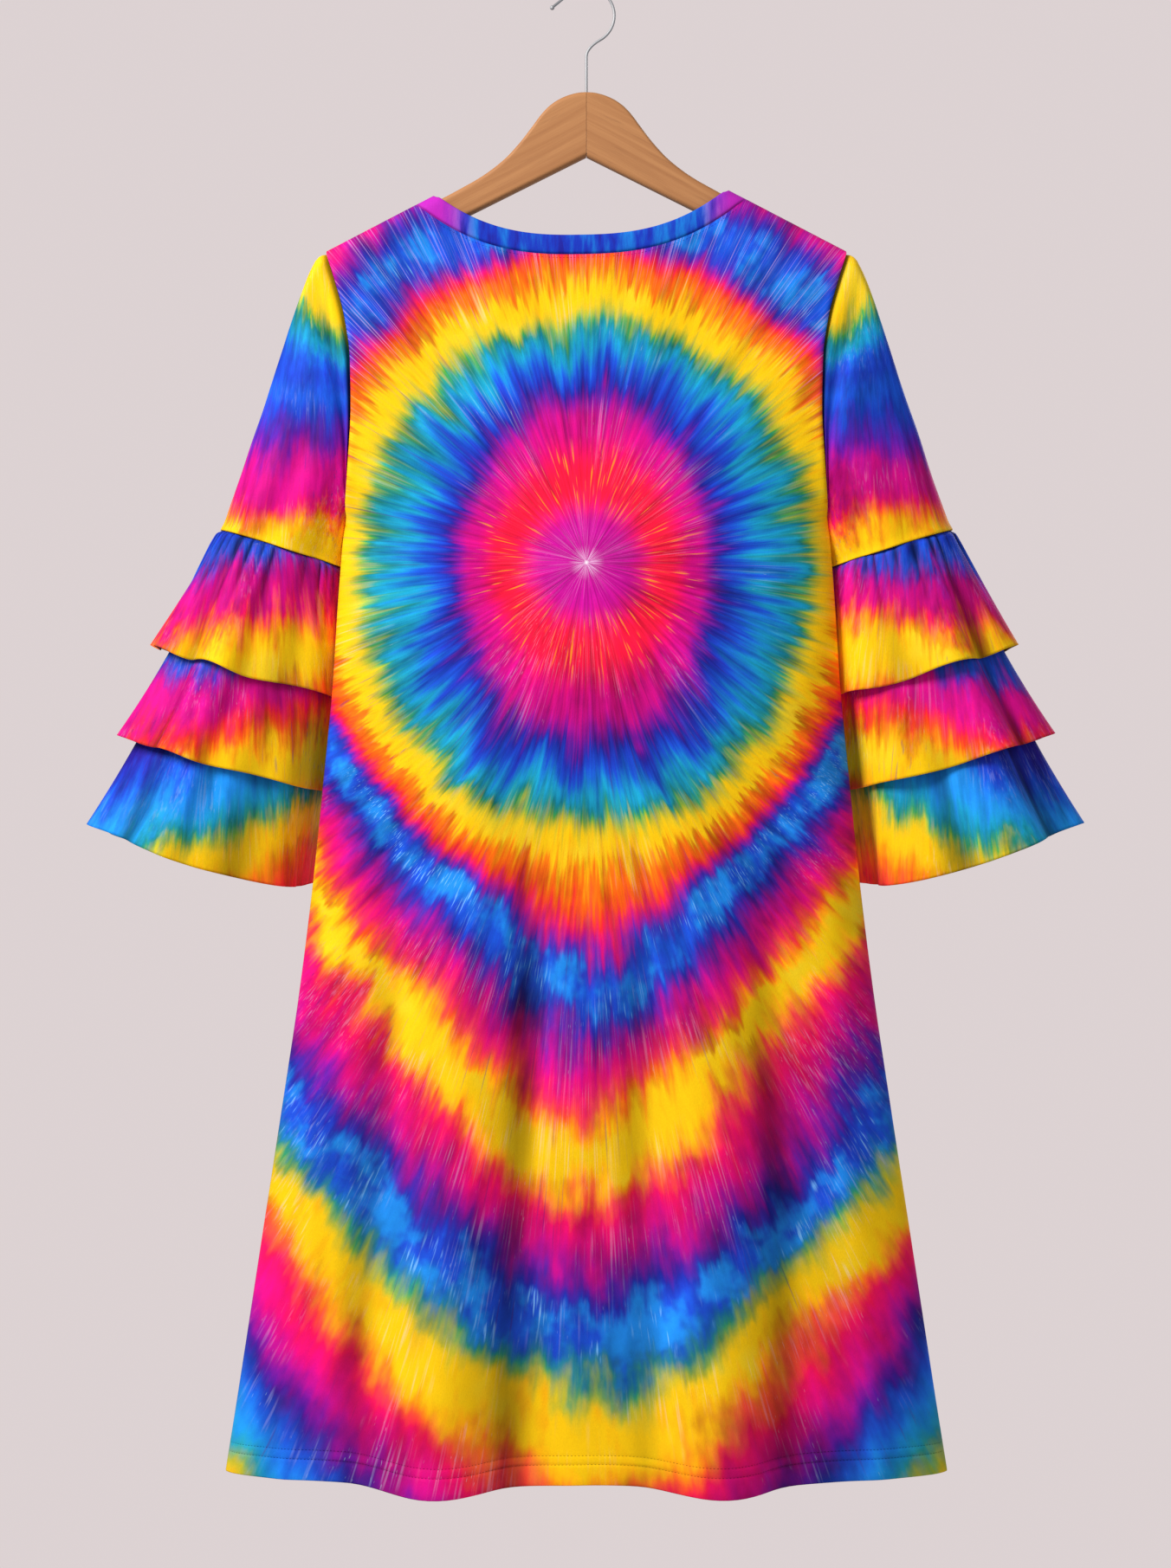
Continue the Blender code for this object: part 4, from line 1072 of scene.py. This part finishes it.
def hook_wire(material):
    """Stem, bend, round loop, straight tip and its ball, as one bevelled curve."""
    centre = np.array((0, WIRE_RADIUS - HOOK_RADIUS))
    start, end = np.radians((HOOK_START_DEG, HOOK_END_DEG))
    loop = [centre + HOOK_RADIUS * direction(angle) for angle in np.linspace(start, end, 48)]
    heading = direction(start + math.pi / 2)
    stem_top = np.array((0, STEM_TOP_Z))
    knee = np.array((0, loop[0][1] - loop[0][0] * heading[1] / heading[0]))
    path = [np.array((0, STEM_FOOT_Z))]
    for t in np.linspace(0, 1, 14)[:-1]:
        path.append((1 - t) ** 2 * stem_top + 2 * t * (1 - t) * knee + t * t * loop[0])
    path += loop
    heading = direction(end + math.pi / 2)
    ball_centre = loop[-1] + heading * (HOOK_TIP_LENGTH - BALL_RADIUS)
    path.append(ball_centre - heading * BALL_RADIUS * 0.75)
    radii = [1] * len(path)
    for turn in (-0.6, -0.3, 0, 0.3, 0.6, 0.85, 0.97):
        path.append(ball_centre + heading * BALL_RADIUS * turn)
        radii.append(BALL_RADIUS / WIRE_RADIUS * math.sqrt(1 - turn * turn))
    curve = bpy.data.curves.new("hook_wire", "CURVE")
    curve.dimensions = "3D"
    curve.bevel_depth = WIRE_RADIUS * MM
    curve.bevel_resolution = 4
    curve.use_fill_caps = True
    spline = curve.splines.new("POLY")
    spline.points.add(len(path) - 1)
    for point, (x, z), radius in zip(spline.points, path, radii):
        point.co = (x * MM, 0, z * MM, 1)
        point.radius = radius
    spline.use_smooth = True
    curve.materials.append(material)
    wire = linked("hook_wire", curve)
    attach(wire, "root")
    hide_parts("hanger_hook")


def read_line(at, along, rows):
    """Interpolates between rows that stand at these distances along a line."""
    return np.array([np.interp(at, along, column) for column in rows.T])


def stitch_rows(name, lines, stitch, material):
    """Small lozenge stitches laid end to end along each line of points and outward directions."""
    mesh = bmesh.new()
    for points, normals in lines:
        steps = np.linalg.norm(np.diff(points, axis=0), axis=1)
        along = np.concatenate([[0], np.cumsum(steps)])
        count = int(along[-1] / (stitch.length + stitch.gap))
        for k in range(count):
            at = (k + 0.5) * along[-1] / count
            place = read_line(at, along, points)
            up = unit(read_line(at, along, normals))
            forward = unit(read_line(at + 1, along, points) - read_line(at - 1, along, points))
            sideways = unit(np.cross(up, forward))
            width = sideways * stitch.thickness
            height = up * stitch.thickness * 0.7
            axes = np.column_stack([forward * stitch.length, width, height, place])
            matrix = Matrix([*(axes * MM), (0, 0, 0, 1)])
            bmesh.ops.create_icosphere(mesh, subdivisions=1, radius=0.5, matrix=matrix)
    bmesh.ops.recalc_face_normals(mesh, faces=mesh.faces)
    thing = finish_piece(name, mesh, material)
    return thing


def panel_line(grid, fall, columns):
    """Points and normals along the row of a panel's grid that is nearest to this fall."""
    points, normals = grid
    row = int(np.argmin(np.abs(np.array(FALLS) - fall)))
    return points[row, columns], normals[row, columns]


def area_light(name, place, target, size, power, colour):
    data = bpy.data.lights.new(name, "AREA")
    data.energy = power
    data.size = size
    data.color = colour
    lamp = linked(name, data)
    lamp.location = place
    lamp.rotation_mode = "QUATERNION"
    lamp.rotation_quaternion = (Vector(target) - Vector(place)).to_track_quat("-Z", "Y")


def studio():
    """Camera square to the dress, a pale floor well below it, soft light from the upper left."""
    data = bpy.data.cameras.new("camera")
    data.sensor_width = 36
    data.lens = 73
    camera = linked("camera", data)
    camera.location = (-0.0007, -2.5, -0.6251)
    camera.rotation_euler = (math.radians(90), 0, 0)
    bpy.context.scene.camera = camera
    mesh = bmesh.new()
    bmesh.ops.create_circle(mesh, cap_ends=True, segments=96, radius=0.78)
    bmesh.ops.translate(mesh, verts=mesh.verts, vec=(0, 0, -1.46))
    data = bpy.data.meshes.new("floor")
    mesh.to_mesh(data)
    mesh.free()
    floor = linked("floor", data)
    pale = Recipe("Pale floor").finish(Base_Color=(0.72, 0.67, 0.67, 1), Roughness=0.9)
    floor.data.materials.append(pale)
    world = bpy.data.worlds.new("studio")
    world.use_nodes = True
    nodes = world.node_tree.nodes
    links = world.node_tree.links
    ambient = nodes["Background"]
    ambient.inputs["Color"].default_value = (0.92, 0.94, 1, 1)
    ambient.inputs["Strength"].default_value = 0.36
    backdrop = nodes.new("ShaderNodeBackground")
    backdrop.inputs["Color"].default_value = (0.72, 0.645, 0.65, 1)
    seen = nodes.new("ShaderNodeLightPath")
    either = nodes.new("ShaderNodeMixShader")
    links.new(seen.outputs["Is Camera Ray"], either.inputs[0])
    links.new(ambient.outputs[0], either.inputs[1])
    links.new(backdrop.outputs[0], either.inputs[2])
    links.new(either.outputs[0], nodes["World Output"].inputs["Surface"])
    bpy.context.scene.world = world
    bpy.context.scene.view_settings.view_transform = "Standard"
    target = (0, 0, -0.6)
    area_light("key", (-1.7, -1.5, 0.9), target, 1, 84, (1, 0.985, 0.965))
    area_light("fill", (1.6, -2.6, 0.2), target, 2, 9, (0.96, 0.97, 1))
    area_light("behind", (1.4, 2.4, 0.6), target, 1.6, 30, (1, 0.99, 0.98))


def dress(arms):
    body_dye = bullseye_jersey("Body jersey")
    grids = []
    pieces = []
    for label, form, creases in (("back", BACK, BACK_CREASES), ("front", FRONT, FRONT_CREASES)):
        points, normals, relief = panel_grid(form, creases)
        piece = cloth_piece(
            label + "_cloth", points, relief, (0, form.facing, 0), False, CLOTH, body_dye,
            [label + "_panel"],
        )
        grids.append((points, normals))
        pieces.append(piece)
    back, front = (points for points, normals in grids)
    band, band_relief = neckband_grid(back, front)
    band_piece = cloth_piece(
        "neckband_cloth", band, band_relief, (-1, 0, 0), True, BAND_WALL, neckband_jersey(),
        ["neckband"],
    )
    # The stitches use the body's dye darkened to 0.42, painted shade for the shadow they sit in.
    thread = bullseye_jersey("Dyed thread in painted shade", 0.42)
    inside_seams = slice(2, -2)
    under_neck = np.abs(neck_share(SHARES * TIP_X)) < 0.97
    hem_falls = (SIDE_FALL - LOWER_STITCHES, SIDE_FALL - UPPER_STITCHES)
    for label, grid, piece in zip(("back", "front"), grids, pieces):
        hem_lines = [panel_line(grid, fall, inside_seams) for fall in hem_falls]
        hem = stitch_rows(label + "_hem_stitches", hem_lines, HEM_STITCH, thread)
        neck_lines = [panel_line(grid, NECK_STITCH_FALL, under_neck)]
        neck = stitch_rows(label + "_neck_stitches", neck_lines, NECK_STITCH, thread)
    sleeve_dye = banded_jersey("Sleeve jersey", SLEEVE_BANDS, SLEEVE_SLANT)
    ruffle_dyes = {
        "top": banded_jersey("Top ruffle jersey", TOP_BANDS, TOP_SLANT),
        "middle": banded_jersey("Middle ruffle jersey", MIDDLE_BANDS, MIDDLE_SLANT),
        "bottom": banded_jersey("Bottom ruffle jersey", BOTTOM_BANDS, BOTTOM_SLANT),
    }
    for side, label in ((-1, "left"), (1, "right")):
        points, relief = sleeve_grid(side, back, front)
        sleeve = cloth_piece(
            "sleeve_cloth_" + label, mirrored(points, side), relief, (side, 0, 0), True, CLOTH, sleeve_dye,
            ["sleeve_" + label],
        )
        for ruffle in RUFFLES:
            node = "ruffle_" + ruffle.name + "_" + label
            points, relief = ruffle_grid(ruffle, side)
            piece = cloth_piece(
                node + "_cloth", mirrored(points, side), relief, (side, 0, 0), True, CLOTH,
                ruffle_dyes[ruffle.name], [node],
            )


def arm_ring(side, out, top, bottom, shrink=0):
    """A cross-section of a wooden arm: a tall rectangle with rounded corners."""
    middle = (top + bottom) / 2
    radius = ARM_EDGE_RADIUS - shrink
    corner_y = ARM_HALF_THICKNESS - ARM_EDGE_RADIUS
    corner_z = (top - bottom) / 2 - ARM_EDGE_RADIUS
    ring = []
    for across, up in ((1, 1), (-1, 1), (-1, -1), (1, -1)):
        turns = np.linspace(0, math.pi / 2, 7)
        round_part = [(radius * math.cos(turn), radius * math.sin(turn)) for turn in turns]
        quarter = [(radius, -1)] + round_part + [(-0.6, radius)]
        if across * up < 0:
            quarter = quarter[::-1]
        for y, z in quarter:
            ring.append((side * out, across * (corner_y + y), middle + up * (corner_z + z)))
    return ring


def wooden_arm(side, label):
    """One arm with its long edges rounded over, from the joint to its rounded end."""
    rows = [(row.out, row.top) for row in ARM_PROFILE]
    lower_rows = [(row.out, row.bottom) for row in ARM_PROFILE]
    reach = ARM_PROFILE[-1].out
    rings = []
    for out in finer([SEAM_GAP / 2, reach], ARM_STEP):
        top = smooth_table(rows, out)
        bottom = smooth_table(lower_rows, out)
        rings.append(arm_ring(side, out, top, bottom))
    for turn in np.radians((20, 40, 60, 80)):
        shrink = ARM_END * (1 - math.cos(turn))
        rings.append(arm_ring(side, reach + ARM_END * math.sin(turn), top, bottom, shrink))
    # Both ends close on the middle of their ring.
    points = np.array(rings)
    ends = [np.broadcast_to(ring.mean(axis=0), ring.shape) for ring in (points[0], points[-1])]
    points = np.array([ends[0], *points, ends[1]])
    mesh = laid_grid(points, np.zeros(points.shape[:2]), True)
    bmesh.ops.recalc_face_normals(mesh, faces=mesh.faces)
    arm = finish_piece("wooden_arm_" + label, mesh, wood_material("Light brown wood, " + label, side))
    arm.data.set_sharp_from_angle(angle=math.radians(50))
    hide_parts("hanger_arm_" + label)
    return arm


def glue_line():
    """The dark line of glue between the two arms, before and behind the hook's stem."""
    mesh = bmesh.new()
    for facing in (-1, 1):
        made = bmesh.ops.create_cube(mesh, size=1)["verts"]
        bmesh.ops.scale(mesh, verts=made, vec=Vector((0.28, 3.8, GLUE_TOP_Z - GLUE_BOTTOM_Z)) * MM)
        place = Vector((0, facing * 4, (GLUE_TOP_Z + GLUE_BOTTOM_Z) / 2)) * MM
        bmesh.ops.translate(mesh, verts=made, vec=place)
    recipe = Recipe("Dark glue")
    speck = recipe.noise(recipe.place, 700)
    glue = recipe.mix(speck, (0.09, 0.035, 0.014), (0.14, 0.06, 0.025))
    material = recipe.finish(Base_Color=glue, Roughness=0.7)
    finish_piece("glue_line", mesh, material)


def hanger():
    arms = [wooden_arm(-1, "left"), wooden_arm(1, "right")]
    glue_line()
    hook_wire(steel_material())
    return arms


studio()
dress(hanger())
